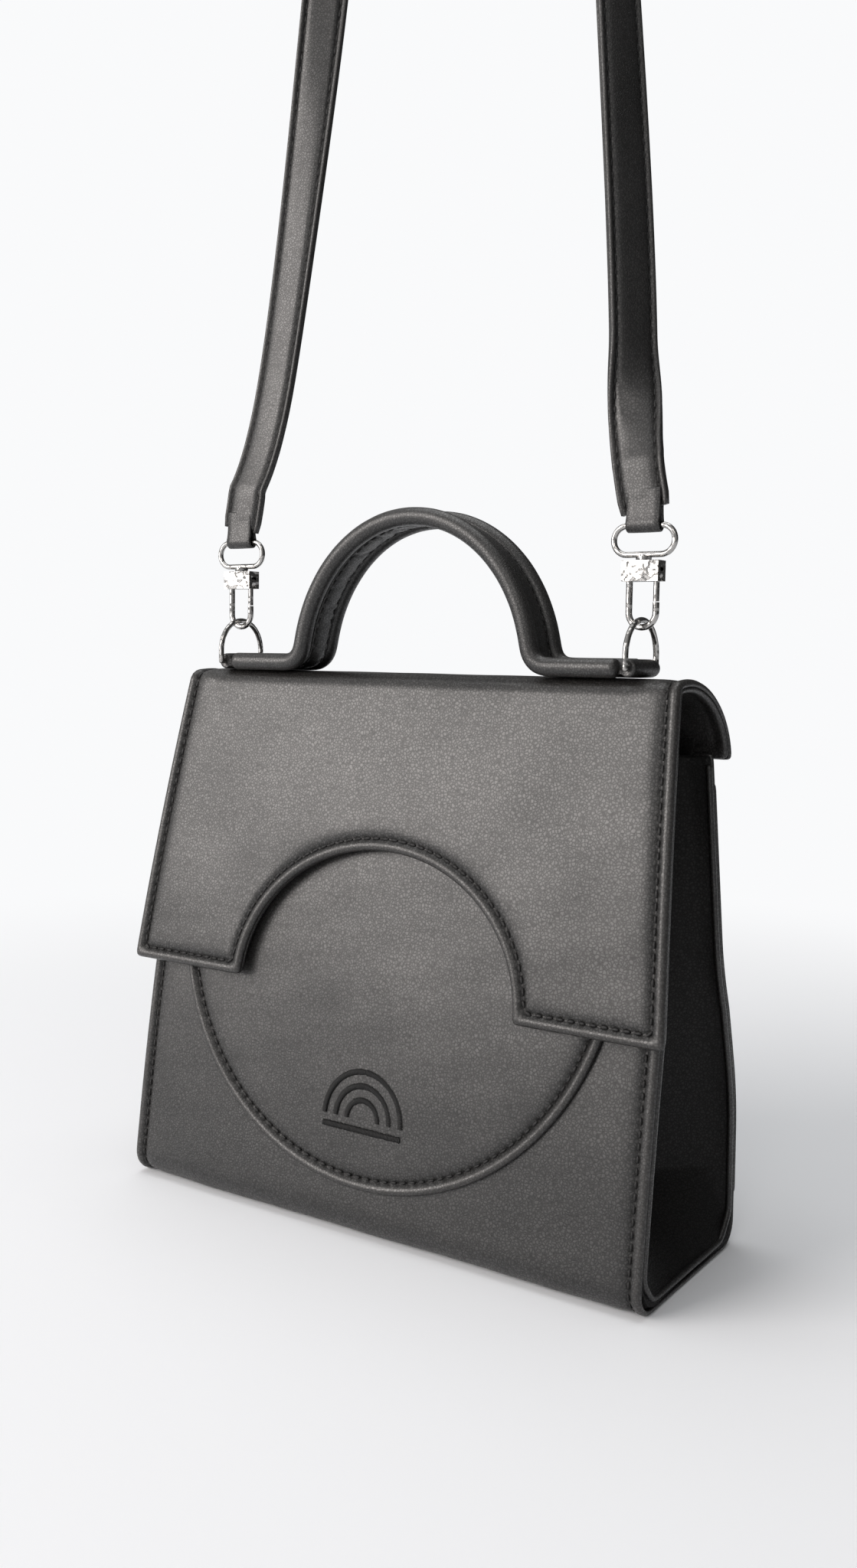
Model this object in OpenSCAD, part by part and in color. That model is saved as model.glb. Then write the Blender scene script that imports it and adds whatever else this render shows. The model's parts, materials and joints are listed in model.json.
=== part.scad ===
// Small trapeze-shaped handbag with a top handle, a front flap and a shoulder strap.
// X is the bag's width, the front faces -Y, Z is up. The origin is at the middle of the base.

/* [Body] */
// Width of the body along its base
body_w = 223; // [186:1:268]
// Width of the body at its mouth
mouth_w = 206; // [172:1:246]
// Height of the front panel
body_h = 181; // [152:1:216]
// Depth of the base from front to back
base_d = 79; // [66:1:95]
// Depth of the body at its mouth
mouth_d = 35.5; // [30:0.5:44]
// How far the middle of the mouth sits behind the middle of the base
mouth_back_shift = 9.2; // [4:0.2:11]
// Outward bow of the front panel at mid height
front_bow = 2.8; // [0:0.1:4]
// Outside radius of the rounded edges along the base
base_r = 9; // [7:0.5:12]
// Depth of the pleat in each side gusset
pleat_d = 29; // [22:1:36]
// Thickness of the outer leather
leather_t = 1.4; // [1.1:0.1:1.6]
// Thickness of the stiffening boards
board_t = 1; // [0.8:0.1:1.2]
// Thickness of the lining
lining_t = 0.6; // [0.5:0.1:0.8]
// Air left between two layers that lie on each other
layer_gap = 0.1; // [0.05:0.01:0.15]

/* [Pockets] */
// Radius of the round pocket on the front
patch_r = 94.9; // [78:0.1:98]
// Height of the round pocket's centre above the base
patch_z = 113; // [110:1:128]
// Height of the round pocket's straight top edge
patch_top = 160; // [142:1:170]
// Height of the slip pocket on the back
back_pocket_h = 167; // [140:1:168]
// Height of the top edge of the inner pocket
divider_h = 161; // [130:1:165]
// Height of the lower edge of the inner pocket
divider_low = 62; // [55:1:90]

/* [Flap] */
// Height of the crown's top above the front panel
crown_rise = 21.4; // [19:0.2:26]
// Thickness of the flap and the crown
flap_t = 4; // [3.6:0.1:4.6]
// Drop of the flap from its fold to its lower edge
flap_drop = 112.6; // [96:0.2:130]
// Width of the flap at the fold
flap_top_w = 213; // [190:1:240]
// Width of the flap along its lower edge
flap_low_w = 230; // [200:1:262]
// Distance from the body's front to the middle of the flap's thickness
flap_stand = 5.5; // [5.2:0.1:7]
// Half the width of the arch cut out of the flap
arch_half_w = 60; // [50:1:70]
// Height of the arch cut out of the flap
arch_h = 52.5; // [44:0.5:63]
// Radius of the flap's lower corners
flap_corner_r = 5; // [2:0.5:8]

/* [Handle] */
// Half the span of the handle's arch at its middle line
handle_half_w = 50.5; // [42:0.5:56]
// Height of the handle's arch above its feet
handle_rise = 56; // [44:0.5:64]
// Distance between the two piped edges
pipe_pitch = 16.6; // [15:0.2:18]
// Radius of the piped edges
pipe_r = 3.25; // [2.9:0.05:3.6]
// Radius of the cord inside each piped edge
core_r = 2.2; // [1.8:0.1:2.3]
// Radius of the bend between the arch and each foot
handle_bend_r = 7; // [5:0.5:8]

/* [Hardware] */
// Distance of the rings from the middle of the bag
ring_x = 88; // [78:1:94]
// Inside width of the ring
ring_in_w = 21.5; // [21.2:0.1:26]
// Length of the ring's straight sides
ring_side = 4.3; // [3.6:0.1:6]
// Radius of the ring's wire
ring_wire_r = 1; // [0.8:0.05:1.1]
// Radius of the wire of the clip's loop
hook_wire_r = 1.1; // [0.9:0.05:1.2]
// Radius of the clip's loop at its middle line
hook_r = 4.9; // [4.5:0.1:6]
// Length of the clip's straight sides
hook_side = 10.2; // [9:0.2:13]
// Width of the clip's head
head_w = 13.2; // [12.8:0.1:15]
// Height of the clip's head
head_h = 6.8; // [6.6:0.1:8]
// Depth of the clip's head
head_d = 6; // [5.2:0.1:7]
// Radius of the swivel post
post_r = 1.3; // [1.1:0.05:1.4]
// Radial clearance of the posts and pins in their holes
pin_clear = 0.06; // [0.03:0.01:0.09]
// Radius of the gate's pin
pin_r = 0.6; // [0.5:0.05:0.7]
// Radius of the rounded ends of the swivel eye at their middle line
eye_r = 4.75; // [4.4:0.05:5.6]
// Length of the straight bars of the swivel eye
eye_bar = 12.5; // [12.5:0.1:15]

/* [Strap] */
// Width of the shoulder strap
strap_w = 18; // [15:0.5:21]
// Thickness of each of the strap's two layers
strap_layer_t = 1.4; // [1.2:0.05:1.6]
// Width of the folded tab at each end of the strap
tab_w = 12; // [10:0.1:12.4]
// Thickness of the folded tab
tab_t = 1.2; // [1:0.05:1.4]

/* [Hidden] */

leather = [0.13, 0.125, 0.12];
leather_light = [0.2, 0.19, 0.18];
cloth = [0.09, 0.09, 0.1];
board = [0.55, 0.5, 0.42];
nickel = [0.8, 0.8, 0.82];

// Outline of the body: its front, back and side at each height
mouth_front_y = mouth_back_shift - mouth_d / 2;
mouth_back_y = mouth_back_shift + mouth_d / 2;
back_drop = 4;                   // the back panel stops this far below the front
back_h = body_h - back_drop;
back_low_share = 0.23;           // the back is upright up to this share of the height
back_high_share = 0.62;          // and upright again from this one
shoulder_share = 0.48;           // the sides turn inwards above this share
back_bulge_low = back_low_share * body_h;
back_bulge_high = back_high_share * body_h;
shoulder_z = shoulder_share * body_h;
shoulder_in = 1;                 // how much narrower each side is at that height

function mix(a, b, t) = a + (b - a) * t;
function front_y(z) =
    mix(-base_d / 2, mouth_front_y, z / body_h) - front_bow * 4 * z / body_h * (1 - z / body_h);
function back_fall(z) =
    z < back_bulge_low ? 0 : z > back_bulge_high ? 1
    : 0.5 - 0.5 * cos(180 * (z - back_bulge_low) / (back_bulge_high - back_bulge_low));
function back_y(z) = mix(base_d / 2, mouth_back_y, back_fall(z));
function half_w(z) =
    z < shoulder_z ? body_w / 2 - shoulder_in * z / shoulder_z
    : mix(body_w / 2 - shoulder_in, mouth_w / 2, (z - shoulder_z) / (body_h - shoulder_z));

// A sheet seen from its side: the path p, thickened from offset a to offset b on its right
function unit2(v) = v / norm(v);
function side2(p, i) =
    let (u = i > 0 ? unit2(p[i] - p[i - 1]) : unit2(p[1] - p[0]),
         v = i < len(p) - 1 ? unit2(p[i + 1] - p[i]) : u,
         w = unit2(u + v))
    [w[1], -w[0]] / (w * v);
function shifted(p, d) = [for (i = [0 : len(p) - 1]) p[i] + d * side2(p, i)];
function reversed(p) = [for (i = [len(p) - 1 : -1 : 0]) p[i]];
function ribbon(p, a, b) = concat(shifted(p, b), reversed(shifted(p, a)));
function arc(c, r, a0, a1, n) =
    [for (i = [0 : n]) let (a = mix(a0, a1, i / n)) c + r * [cos(a), sin(a)]];

// The body's outside, seen from the right: down the front, along the base and up the back
function z_between(q, r, z) = [mix(q[0], r[0], (z - q[1]) / (r[1] - q[1])), z];
// The stretch of a rising path p between two heights, on the path's own straight pieces
function cut_rise(p, z0, z1) = concat(
    [for (i = [0 : len(p) - 2]) if (p[i][1] < z0 && p[i + 1][1] >= z0) z_between(p[i], p[i + 1], z0)],
    [for (q = p) if (q[1] > z0 + 0.01 && q[1] < z1 - 0.01) q],
    [for (i = [0 : len(p) - 2]) if (p[i][1] < z1 && p[i + 1][1] >= z1) z_between(p[i], p[i + 1], z1)]);
wrap_steps = 10;
front_rise = [for (i = [0 : wrap_steps]) let (z = mix(base_r, body_h, i / wrap_steps)) [front_y(z), z]];
back_rise = [for (i = [0 : 2 * wrap_steps]) let (z = mix(base_r, back_h, i / (2 * wrap_steps))) [back_y(z), z]];
function front_path(z0, z1) = reversed(cut_rise(front_rise, z0, z1));
function back_path(z0, z1) = cut_rise(back_rise, z0, z1);
front_foot_y = front_y(base_r);
back_foot_y = back_y(base_r);
wrap_path = concat(
    reversed(front_rise),
    [for (i = [1 : 6]) arc([front_foot_y + base_r, base_r], base_r, 180, 270, 6)[i]],
    [for (i = [0 : 5]) arc([back_foot_y - base_r, base_r], base_r, 270, 360, 6)[i]],
    back_rise);

// Depth below the outside of each layer's outer and inner face
board_out = leather_t + layer_gap;
board_in = board_out + board_t;
lining_out = board_in + layer_gap;
lining_in = lining_out + lining_t;
seam = 10;                       // boards and lining stop this far inside the side edges
fit_gap = 0.3;                   // air between two bodies that move on each other

// Extrudes a side view along X, and trims it with a front view along Y
module along_x(w) { rotate([90, 0, 90]) translate([0, 0, -w / 2]) linear_extrude(w) children(); }
module along_y(y0, y1) { translate([0, y1, 0]) rotate([90, 0, 0]) linear_extrude(y1 - y0) children(); }
module side_view(p, a, b) { polygon(ribbon(p, a, b)); }
module body_outline(inset) {
    zs = [0, shoulder_z, body_h + crown_rise];
    polygon(concat(
        [for (z = zs) [half_w(z) - inset, z]],
        [for (z = reversed(zs)) [inset - half_w(z), z]]));
}
module body_layer(p, outer, inner, inset) {
    intersection() {
        along_x(body_w + 20) side_view(p, -inner, -outer);
        along_y(-base_d, base_d) body_outline(inset);
    }
}

module body_wrap() { color(leather) body_layer(wrap_path, 0, leather_t, 0); }

board_up = 8;                    // the upright boards start this far above the rounded edge
board_short = 5;                 // and stop this far below the panels' top edges
board_foot = base_r + board_up;
module front_board() {
    color(board) difference() {
        body_layer(front_path(board_foot, body_h - board_short), board_out, board_in, seam);
        magnet_places() magnet_disc(magnet_r + fit_gap, [-base_d, 0]);
    }
}
module base_board() {
    color(board)
    body_layer([[front_foot_y + base_r, 0], [back_foot_y - base_r, 0]], board_out, board_in, seam);
}
module back_board() { color(board) body_layer(back_path(board_foot, back_h - board_short), board_out, board_in, seam); }
module lining_wrap() { color(cloth) body_layer(wrap_path, lining_out, lining_in, seam); }

// A sheet made of two matching grids of points, its outer and its inner face
module sheet(outer, inner) {
    n = len(outer);
    m = len(outer[0]);
    function at(k, i, j) = k * n * m + i * m + j;
    points = concat([for (row = outer) for (q = row) q], [for (row = inner) for (q = row) q]);
    skins = [for (i = [0 : n - 2]) for (j = [0 : m - 2]) each [
        [at(0, i, j), at(0, i, j + 1), at(0, i + 1, j + 1)],
        [at(0, i, j), at(0, i + 1, j + 1), at(0, i + 1, j)],
        [at(1, i, j), at(1, i + 1, j + 1), at(1, i, j + 1)],
        [at(1, i, j), at(1, i + 1, j), at(1, i + 1, j + 1)]]];
    ends = [for (j = [0 : m - 2]) each [
        [at(0, 0, j + 1), at(0, 0, j), at(1, 0, j)],
        [at(0, 0, j + 1), at(1, 0, j), at(1, 0, j + 1)],
        [at(0, n - 1, j), at(0, n - 1, j + 1), at(1, n - 1, j + 1)],
        [at(0, n - 1, j), at(1, n - 1, j + 1), at(1, n - 1, j)]]];
    sides = [for (i = [0 : n - 2]) each [
        [at(0, i, 0), at(0, i + 1, 0), at(1, i + 1, 0)],
        [at(0, i, 0), at(1, i + 1, 0), at(1, i, 0)],
        [at(0, i + 1, m - 1), at(0, i, m - 1), at(1, i, m - 1)],
        [at(0, i + 1, m - 1), at(1, i, m - 1), at(1, i + 1, m - 1)]]];
    polyhedron(points, concat(skins, ends, sides), convexity = 10);
}

// Side gusset: a sheet folded inwards to a crease, flat on the base at its foot
gusset_edge = 1;                 // the gusset's edges stop this far inside the side edges
pleat_foot = 28;                 // the pleat has its full depth from this height up
gusset_rows = 14;
gusset_zs = concat(
    [leather_t + 0.6, 0.45 * base_r, base_r, 0.6 * pleat_foot],
    [for (i = [0 : gusset_rows]) mix(pleat_foot, back_h - 1, i / gusset_rows)]);
gusset_in = leather_t + 1.5 * fit_gap;
function corner_y(z) = base_r - sqrt(max(0, pow(base_r - gusset_in, 2) - pow(base_r - z, 2)));
function pleat_at(z) = pleat_d * min(1, (z - gusset_zs[0]) / (pleat_foot - gusset_zs[0]));
function gusset_row(z, shift) =
    let (yf = z < base_r ? front_foot_y + corner_y(z) : front_y(z) + gusset_in,
         yb = z < base_r ? back_foot_y - corner_y(z) : back_y(z) - gusset_in,
         x = half_w(z) - gusset_edge - shift)
    [[x, yf, z], [x - pleat_at(z), (yf + yb) / 2, z], [x, yb, z]];
module gusset() {
    sheet([for (z = gusset_zs) gusset_row(z, 0)], [for (z = gusset_zs) gusset_row(z, leather_t)]);
}
module gusset_right() { color(leather_light) gusset(); }
module gusset_left() { color(leather_light) mirror([1, 0, 0]) gusset(); }

// Inner slip pocket, hung on the lining of the back
divider_gap = 4;
divider_inset = pleat_d + 12;
module divider() {
    color(cloth) {
        body_layer(back_path(divider_low, divider_h), lining_in + divider_gap, lining_in + divider_gap + leather_t, divider_inset);
        body_layer(back_path(divider_low - 2, divider_low + 2), lining_in + layer_gap, lining_in + divider_gap + leather_t, divider_inset);
    }
}

// Round pocket sewn on the front, cut straight under the flap
patch_t = leather_t;
module patch_outline() {
    intersection() {
        translate([0, patch_z]) circle(patch_r, $fn = 120);
        translate([-patch_r, 0]) square([2 * patch_r, patch_top]);
    }
}
module on_front(outer, inner) {
    intersection() {
        along_x(body_w) side_view(front_path(base_r, body_h), -inner, -outer);
        along_y(-base_d, 0) children();
    }
}
module round_patch() { color(leather) on_front(-layer_gap - patch_t, -layer_gap) patch_outline(); }

// Plain embroidered motif: nested half rings over a short bar
motif_t = 0.5;
motif_z = 43;
module half_ring(r, w) {
    intersection() {
        difference() {
            circle(r, $fn = 60);
            circle(r - w, $fn = 60);
        }
        translate([-r, 0]) square([2 * r, r]);
    }
}
module patch_motif() {
    color(leather_light)
    on_front(-2 * layer_gap - patch_t - motif_t, -2 * layer_gap - patch_t) {
        translate([0, motif_z]) {
            for (r = [8, 13, 18]) half_ring(r, 2.4);
            translate([-18, -5]) square([36, 2.4]);
        }
    }
}

// Slip pocket over the whole back
pocket_short = 10;               // it always stops this far below the back panel's top
pocket_top = min(back_pocket_h, back_h - pocket_short);
module back_pocket() { color(leather) body_layer(back_path(board_foot, pocket_top), -layer_gap - leather_t, -layer_gap, 0); }

// Magnets behind the leather, facing each other in the body and in the flap's two lobes
magnet_r = 7;
magnet_x = (arch_half_w + flap_low_w / 2) / 2;
magnet_up = 12;                  // height of the magnets above the flap's lower edge
magnet_z = body_h - flap_drop + crown_rise + magnet_up;
module magnet_places() { for (s = [-1, 1]) translate([s * magnet_x, 0, magnet_z]) children(); }
module magnet_disc(r, ys) { translate([0, ys[1], 0]) rotate([90, 0, 0]) cylinder(r = r, h = ys[1] - ys[0], $fn = 48); }
module panel_magnets() {
    color(nickel) intersection() {
        along_x(body_w) side_view(front_path(board_foot, body_h), -board_in, -board_out);
        magnet_places() magnet_disc(magnet_r, [-base_d, 0]);
    }
}

// Crown: over the mouth from its seam on the back to the fold at the front
fold_drop = 0.6;                 // the crown falls this much from its top to the fold
fold_z = body_h + crown_rise - flap_t / 2 - fold_drop;
fold_y = front_y(fold_z) - flap_stand;
seam_z = back_h - 1;
seam_y = mouth_back_y + fit_gap + flap_t / 2;
crown_top_z = body_h + crown_rise - flap_t / 2;
handle_y = -1.5;
crown_path = concat(
    [for (a = [0 : 10 : 90]) [mix(handle_y, seam_y, cos(a)), mix(seam_z, crown_top_z, sin(a))]],
    [[fold_y, fold_z]]);
flap_steps = 8;
flap_low_z = fold_z - flap_drop;
flap_path = [for (i = [0 : flap_steps]) let (z = mix(fold_z, flap_low_z, i / flap_steps)) [front_y(z) - flap_stand, z]];

// The flap and the crown are three layers: face, board and lining
face_out = flap_t / 2;
face_t = 1.5;                    // the face is a little thicker than the body's leather
face_in = face_out - face_t;
fboard_out = face_in - layer_gap;
fboard_in = fboard_out - board_t;
flining_out = fboard_in - layer_gap;
flining_in = -flap_t / 2;

function flap_half_w(z) = mix(flap_low_w, flap_top_w, (z - flap_low_z) / (fold_z - flap_low_z)) / 2;
module flap_outline(inset) {
    r = flap_corner_r;
    low = flap_half_w(flap_low_z) - inset;
    z0 = flap_low_z + inset;
    top = body_h + 2 * crown_rise;
    right = concat([[flap_half_w(top) - inset, top]], arc([low - r, z0 + r], r, 0, -90, 6));
    difference() {
        polygon(concat(right, [for (q = reversed(right)) [-q[0], q[1]]]));
        polygon([for (a = [0 : 6 : 360]) [(arch_half_w + inset) * cos(a), flap_low_z + (arch_h + inset) * sin(a)]]);
    }
}
module knuckle(y, z, r) { translate([-flap_low_w / 2, y, z]) rotate([0, 90, 0]) cylinder(r = r, h = flap_low_w, $fn = 40); }
module crown_layer(outer, inner, inset) {
    intersection() {
        difference() {
            along_x(flap_low_w) side_view(crown_path, inner, outer);
            children();
        }
        along_y(-base_d, base_d) flap_outline(inset);
    }
}
module crown() {
    color(leather) {
        crown_layer(face_out, face_in, 0);
        intersection() {
            union() {
                knuckle(fold_y, fold_z, flap_t / 2);
                knuckle(seam_y, seam_z, flap_t / 2);
            }
            along_y(-base_d, base_d) flap_outline(0);
        }
    }
}
fold_room = 0.78 * flap_t;       // the crown's inner layers stop this far from the fold's axis
module knuckle_room() {
    knuckle(fold_y, fold_z, fold_room);
    knuckle(seam_y, seam_z, flap_t / 2 + layer_gap);
}
module crown_board() { color(board) crown_layer(fboard_out, fboard_in, 3) knuckle_room(); }
module crown_lining() { color(cloth) crown_layer(flining_out, flining_in, 0) knuckle_room(); }

module flap_layer(outer, inner, inset) {
    intersection() {
        difference() {
            along_x(flap_low_w) side_view(flap_path, -outer, -inner);
            knuckle(fold_y, fold_z, flap_t / 2 + fit_gap);
        }
        along_y(-2 * base_d, base_d) flap_outline(inset);
    }
}
module flap() { color(leather) flap_layer(-face_out, -face_in, 0); }
module flap_board() {
    color(board) difference() {
        flap_layer(-fboard_out, -fboard_in, 3);
        magnet_places() magnet_disc(magnet_r + fit_gap, [-2 * base_d, 0]);
    }
}
module flap_lining() { color(cloth) flap_layer(-flining_out, -flining_in, 0); }
module flap_magnets() {
    color(nickel) intersection() {
        flap_layer(-fboard_out, -fboard_in, 3);
        magnet_places() magnet_disc(magnet_r, [-2 * base_d, 0]);
    }
}

// Handle: a web between two piped edges, arched, with a flat foot at each end
foot_gap = 0.2;                  // air under the handle's feet
foot_z = body_h + crown_rise + foot_gap + pipe_r;
foot_end = ring_x - pipe_r - 0.3;
arch_foot = asin(0.16);          // where the arch meets the bends
bend_tuck = 1;                   // the arch starts this far below the bends' middle
handle_base_z = foot_z + handle_bend_r - bend_tuck - handle_rise * sin(arch_foot);
bend_x = handle_half_w * cos(arch_foot) + handle_bend_r;
handle_side = concat(
    [[foot_end, foot_z]],
    arc([bend_x, foot_z + handle_bend_r], handle_bend_r, 270, 190, 5),
    [for (i = [0 : 14]) let (a = mix(arch_foot + 4, 90, i / 14))
        [handle_half_w * cos(a), handle_base_z + (handle_rise) * sin(a)]]);
handle_path = concat(
    [for (q = handle_side) [-q[0], q[1]]],
    [for (i = [len(handle_side) - 2 : -1 : 0]) handle_side[i]]);
// A round tube along the path p, which lies in the XZ plane at y
function swept_rows(p, y, section) = [for (i = [0 : len(p) - 1]) let (s = side2(p, i)) [for (q = section)
    [p[i][0] + s[0] * q[0], y + q[1], p[i][1] + s[1] * q[0]]]];
module tube(p, y, r) {
    n = len(p);
    m = 12;
    rows = swept_rows(p, y, [for (k = [0 : m - 1]) r * [cos(360 * k / m), sin(360 * k / m)]]);
    walls = [for (i = [0 : n - 2]) for (k = [0 : m - 1])
        let (a = i * m + k, b = i * m + (k + 1) % m) each [
        [a, b, b + m], [a, b + m, a + m]]];
    caps = [[for (k = [m - 1 : -1 : 0]) k], [for (k = [0 : m - 1]) (n - 1) * m + k]];
    polyhedron([for (row = rows) each row], concat(walls, caps), convexity = 10);
}
module web(p, a, b, half) {
    translate([0, handle_y, 0]) along_y(-half, half) polygon(ribbon(p, a, b));
}
web_t = 1.4;
under_gap = 0.2;
// The cover is one sheet: round one cord, across the web and round the other cord
cover_t = pipe_r - core_r - layer_gap;
cover_r = pipe_r - cover_t / 2;
cover_meet = acos((layer_gap + cover_t / 2) / cover_r);
cover_open = 65;                 // each turn stops here, beside the underside strip
cover_mid = concat(
    arc([0, -pipe_pitch / 2], cover_r, cover_open, -180 - cover_meet, 11),
    arc([0, pipe_pitch / 2], cover_r, cover_meet - 180, -360 - cover_open, 11));
module handle_cover() {
    color(leather) sheet(
        swept_rows(handle_path, handle_y, shifted(cover_mid, cover_t / 2)),
        swept_rows(handle_path, handle_y, shifted(cover_mid, -cover_t / 2)));
}
under_half_w = pipe_pitch / 2 - pipe_r - under_gap;
loop_tongue = 18;                // length of the ring loops' tongues under the feet
under_path = concat(
    [[-foot_end + loop_tongue, foot_z]],
    [for (q = handle_path) if (abs(q[0]) < foot_end - loop_tongue) q],
    [[foot_end - loop_tongue, foot_z]]);
module handle_under() { color(leather_light) web(under_path, layer_gap, layer_gap + web_t, under_half_w); }
module handle_core_front() { color(cloth) tube(handle_path, handle_y - pipe_pitch / 2, core_r); }
module handle_core_back() { color(cloth) tube(handle_path, handle_y + pipe_pitch / 2, core_r); }

// Loops that hold the rings, with a tongue sewn under each foot
ring_loop_w = ring_in_w - 1.5;
loop_bore_r = ring_wire_r + 0.15;
module ring_loop() {
    difference() {
        union() {
            translate([ring_x, handle_y + ring_loop_w / 2, foot_z]) rotate([90, 0, 0])
                cylinder(r = pipe_r, h = ring_loop_w, $fn = 40);
            translate([foot_end - loop_tongue + 0.3, handle_y - under_half_w, foot_z - layer_gap - web_t])
                cube([ring_x - foot_end + loop_tongue - 1.6, 2 * under_half_w, web_t]);
        }
        translate([ring_x, handle_y + ring_loop_w, foot_z]) rotate([90, 0, 0])
            cylinder(r = loop_bore_r, h = 2 * ring_loop_w, $fn = 32);
    }
}
module ring_loop_right() { color(leather) ring_loop(); }
module ring_loop_left() { color(leather) mirror([1, 0, 0]) ring_loop(); }

// A round wire bent to half a turn in the YZ plane
module bent_wire(r, wire) { rotate([90, 0, 90]) rotate_extrude(angle = 180, $fn = 64) translate([r, 0]) circle(wire, $fn = 24); }
ring_r = ring_in_w / 2 + ring_wire_r;
ring_mid_z = foot_z + ring_side;
module d_ring(side) {
    translate([side * ring_x, handle_y, 0]) {
        translate([0, 0, ring_mid_z]) bent_wire(ring_r, ring_wire_r);
        for (s = [-1, 1]) translate([0, s * ring_r, foot_z]) {
            cylinder(r = ring_wire_r, h = ring_side, $fn = 24);
            sphere(ring_wire_r, $fn = 24);
        }
        translate([0, ring_r, foot_z]) rotate([90, 0, 0]) cylinder(r = ring_wire_r, h = 2 * ring_r, $fn = 24);
    }
}
module d_ring_left() { color(nickel) d_ring(-1); }
module d_ring_right() { color(nickel) d_ring(1); }

// Swivel clip: a loop round the ring's wire, closed by a gate that turns on a pin in the head
ring_top_z = ring_mid_z + ring_r;
hook_mid_z = ring_top_z - ring_wire_r - fit_gap - hook_wire_r + hook_r;
head_z = hook_mid_z + hook_side;
gate_pivot_z = head_z + 2.4;
gate_len = 9;
gate_tip_z = gate_pivot_z - gate_len;
gate_eye_r = 1.8;
slot_half = 1.2;
slot_x = hook_r - gate_eye_r - 0.5;
cavity_r = 2.3;
cavity_z = head_z + head_h - 3.2;
cavity_h = 1.7;
module at_clip(side) { translate([side * ring_x, handle_y, 0]) children(); }
module post(r, z0, z1) { translate([0, 0, z0]) cylinder(r = r, h = z1 - z0, $fn = 32); }
module cross_pin(r, half) { translate([hook_r, half, gate_pivot_z]) rotate([90, 0, 0]) cylinder(r = r, h = 2 * half, $fn = 32); }
module hook(side) {
    at_clip(side) {
        translate([0, 0, hook_mid_z]) rotate([0, 0, 90]) mirror([0, 0, 1]) bent_wire(hook_r, hook_wire_r);
        translate([-hook_r, 0, 0]) post(hook_wire_r, hook_mid_z, head_z + 0.5);
        translate([hook_r, 0, 0]) post(hook_wire_r, hook_mid_z, gate_tip_z - fit_gap);
        difference() {
            translate([-head_w / 2, -head_d / 2, head_z]) cube([head_w, head_d, head_h]);
            translate([slot_x, -slot_half, head_z - 1]) cube([head_w, 2 * slot_half, gate_pivot_z - head_z + 1 + gate_eye_r + 0.3]);
            cross_pin(pin_r + pin_clear, head_d);
            post(post_r + pin_clear, cavity_z, head_z + head_h + 1);
            post(cavity_r, cavity_z, cavity_z + cavity_h);
        }
    }
}
module hook_left() { color(nickel) hook(-1); }
module hook_right() { color(nickel) hook(1); }

module gate(side) {
    at_clip(side) difference() {
        union() {
            cross_pin(gate_eye_r, slot_half - 0.15);
            translate([hook_r, 0, 0]) post(slot_half - 0.2, gate_tip_z, gate_pivot_z);
        }
        cross_pin(pin_r + pin_clear, head_d);
    }
}
module gate_left() { color(nickel) gate(-1); }
module gate_right() { color(nickel) gate(1); }
module gate_pin_left() { color(nickel) at_clip(-1) cross_pin(pin_r, head_d / 2 + 0.3); }
module gate_pin_right() { color(nickel) at_clip(1) cross_pin(pin_r, head_d / 2 + 0.3); }
module gate_spring(side) {
    at_clip(side) translate([slot_x + 0.02, -0.8, gate_pivot_z - 0.4]) cube([0.3, 1.6, gate_eye_r]);
}
module gate_spring_left() { color(nickel) gate_spring(-1); }
module gate_spring_right() { color(nickel) gate_spring(1); }

// Swivel eye on its post, headed inside the clip's head
collar_r = 2.6;
collar_h = 1.1;
eye_wire_r = ring_wire_r;
eye_low_z = head_z + head_h + fit_gap + collar_h + eye_wire_r - 0.4;
eye_mid_z = eye_low_z + eye_r;
eye_top_z = eye_low_z + 2 * eye_r;
module swivel(side) {
    at_clip(side) {
        post(post_r, cavity_z + 0.4, eye_low_z);
        post(cavity_r - 0.3, cavity_z + 0.25, cavity_z + cavity_h - 0.25);
        post(collar_r, head_z + head_h + fit_gap, head_z + head_h + fit_gap + collar_h);
        for (s = [-1, 1])
            translate([s * eye_bar / 2, 0, eye_mid_z]) rotate([0, s * 90, 0]) rotate([0, 0, 90]) bent_wire(eye_r, eye_wire_r);
        for (z = [eye_low_z, eye_top_z])
            translate([-eye_bar / 2, 0, z]) rotate([0, 90, 0]) cylinder(r = eye_wire_r, h = eye_bar, $fn = 24);
    }
}
module swivel_left() { color(nickel) swivel(-1); }
module swivel_right() { color(nickel) swivel(1); }

// Strap: two layers that rise from the clips, turn a quarter and meet in an arch
strap_y = handle_y;
strap_stand = 5;                 // the strap starts this far above the eye
strap_low_z = eye_top_z + strap_stand;
strap_half = strap_layer_t + layer_gap / 2;
// Points of the right leg from the clip up to the start of the arch
strap_leg = [
    [84, 277], [83, 281], [82, 286], [81.1, 291], [80.2, 297], [79.2, 304], [78.1, 313], [77, 323], [75.7, 335], [72.4, 365], [69, 395], [65.6, 425], [62.8, 450],
    [59, 485], [55, 520], [51.3, 550], [47.6, 580], [44.2, 610], [41, 640], [38.5, 665], [37, 690]
];
strap_arch_r = 36.5;
strap_arch_z = 705;
tail_h = 20;
bend_low_z = eye_top_z + tail_h + 0.6; // up to here the strap is straight between the tab's tails
strap_right = concat(
    [[ring_x, strap_low_z], [mix(ring_x, 83, 0.4), mix(strap_low_z, bend_low_z, 0.6)], [84.9, bend_low_z]],
    strap_leg,
    arc([0, strap_arch_z], strap_arch_r, 0, 90, 8));
strap_route = concat(
    [for (q = strap_right) [-q[0], q[1]]],
    [for (i = [len(strap_right) - 2 : -1 : 0]) strap_right[i]]);
// The strap leans back as it rises, soon after the tabs and then slowly
lean_soon = 6;
lean_slow = 18;
function lean_at(z) = let (u = max(0, z - bend_low_z))
    lean_soon * (1 - exp(-u / 25)) + lean_slow * (1 - exp(-u / 170));
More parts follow.
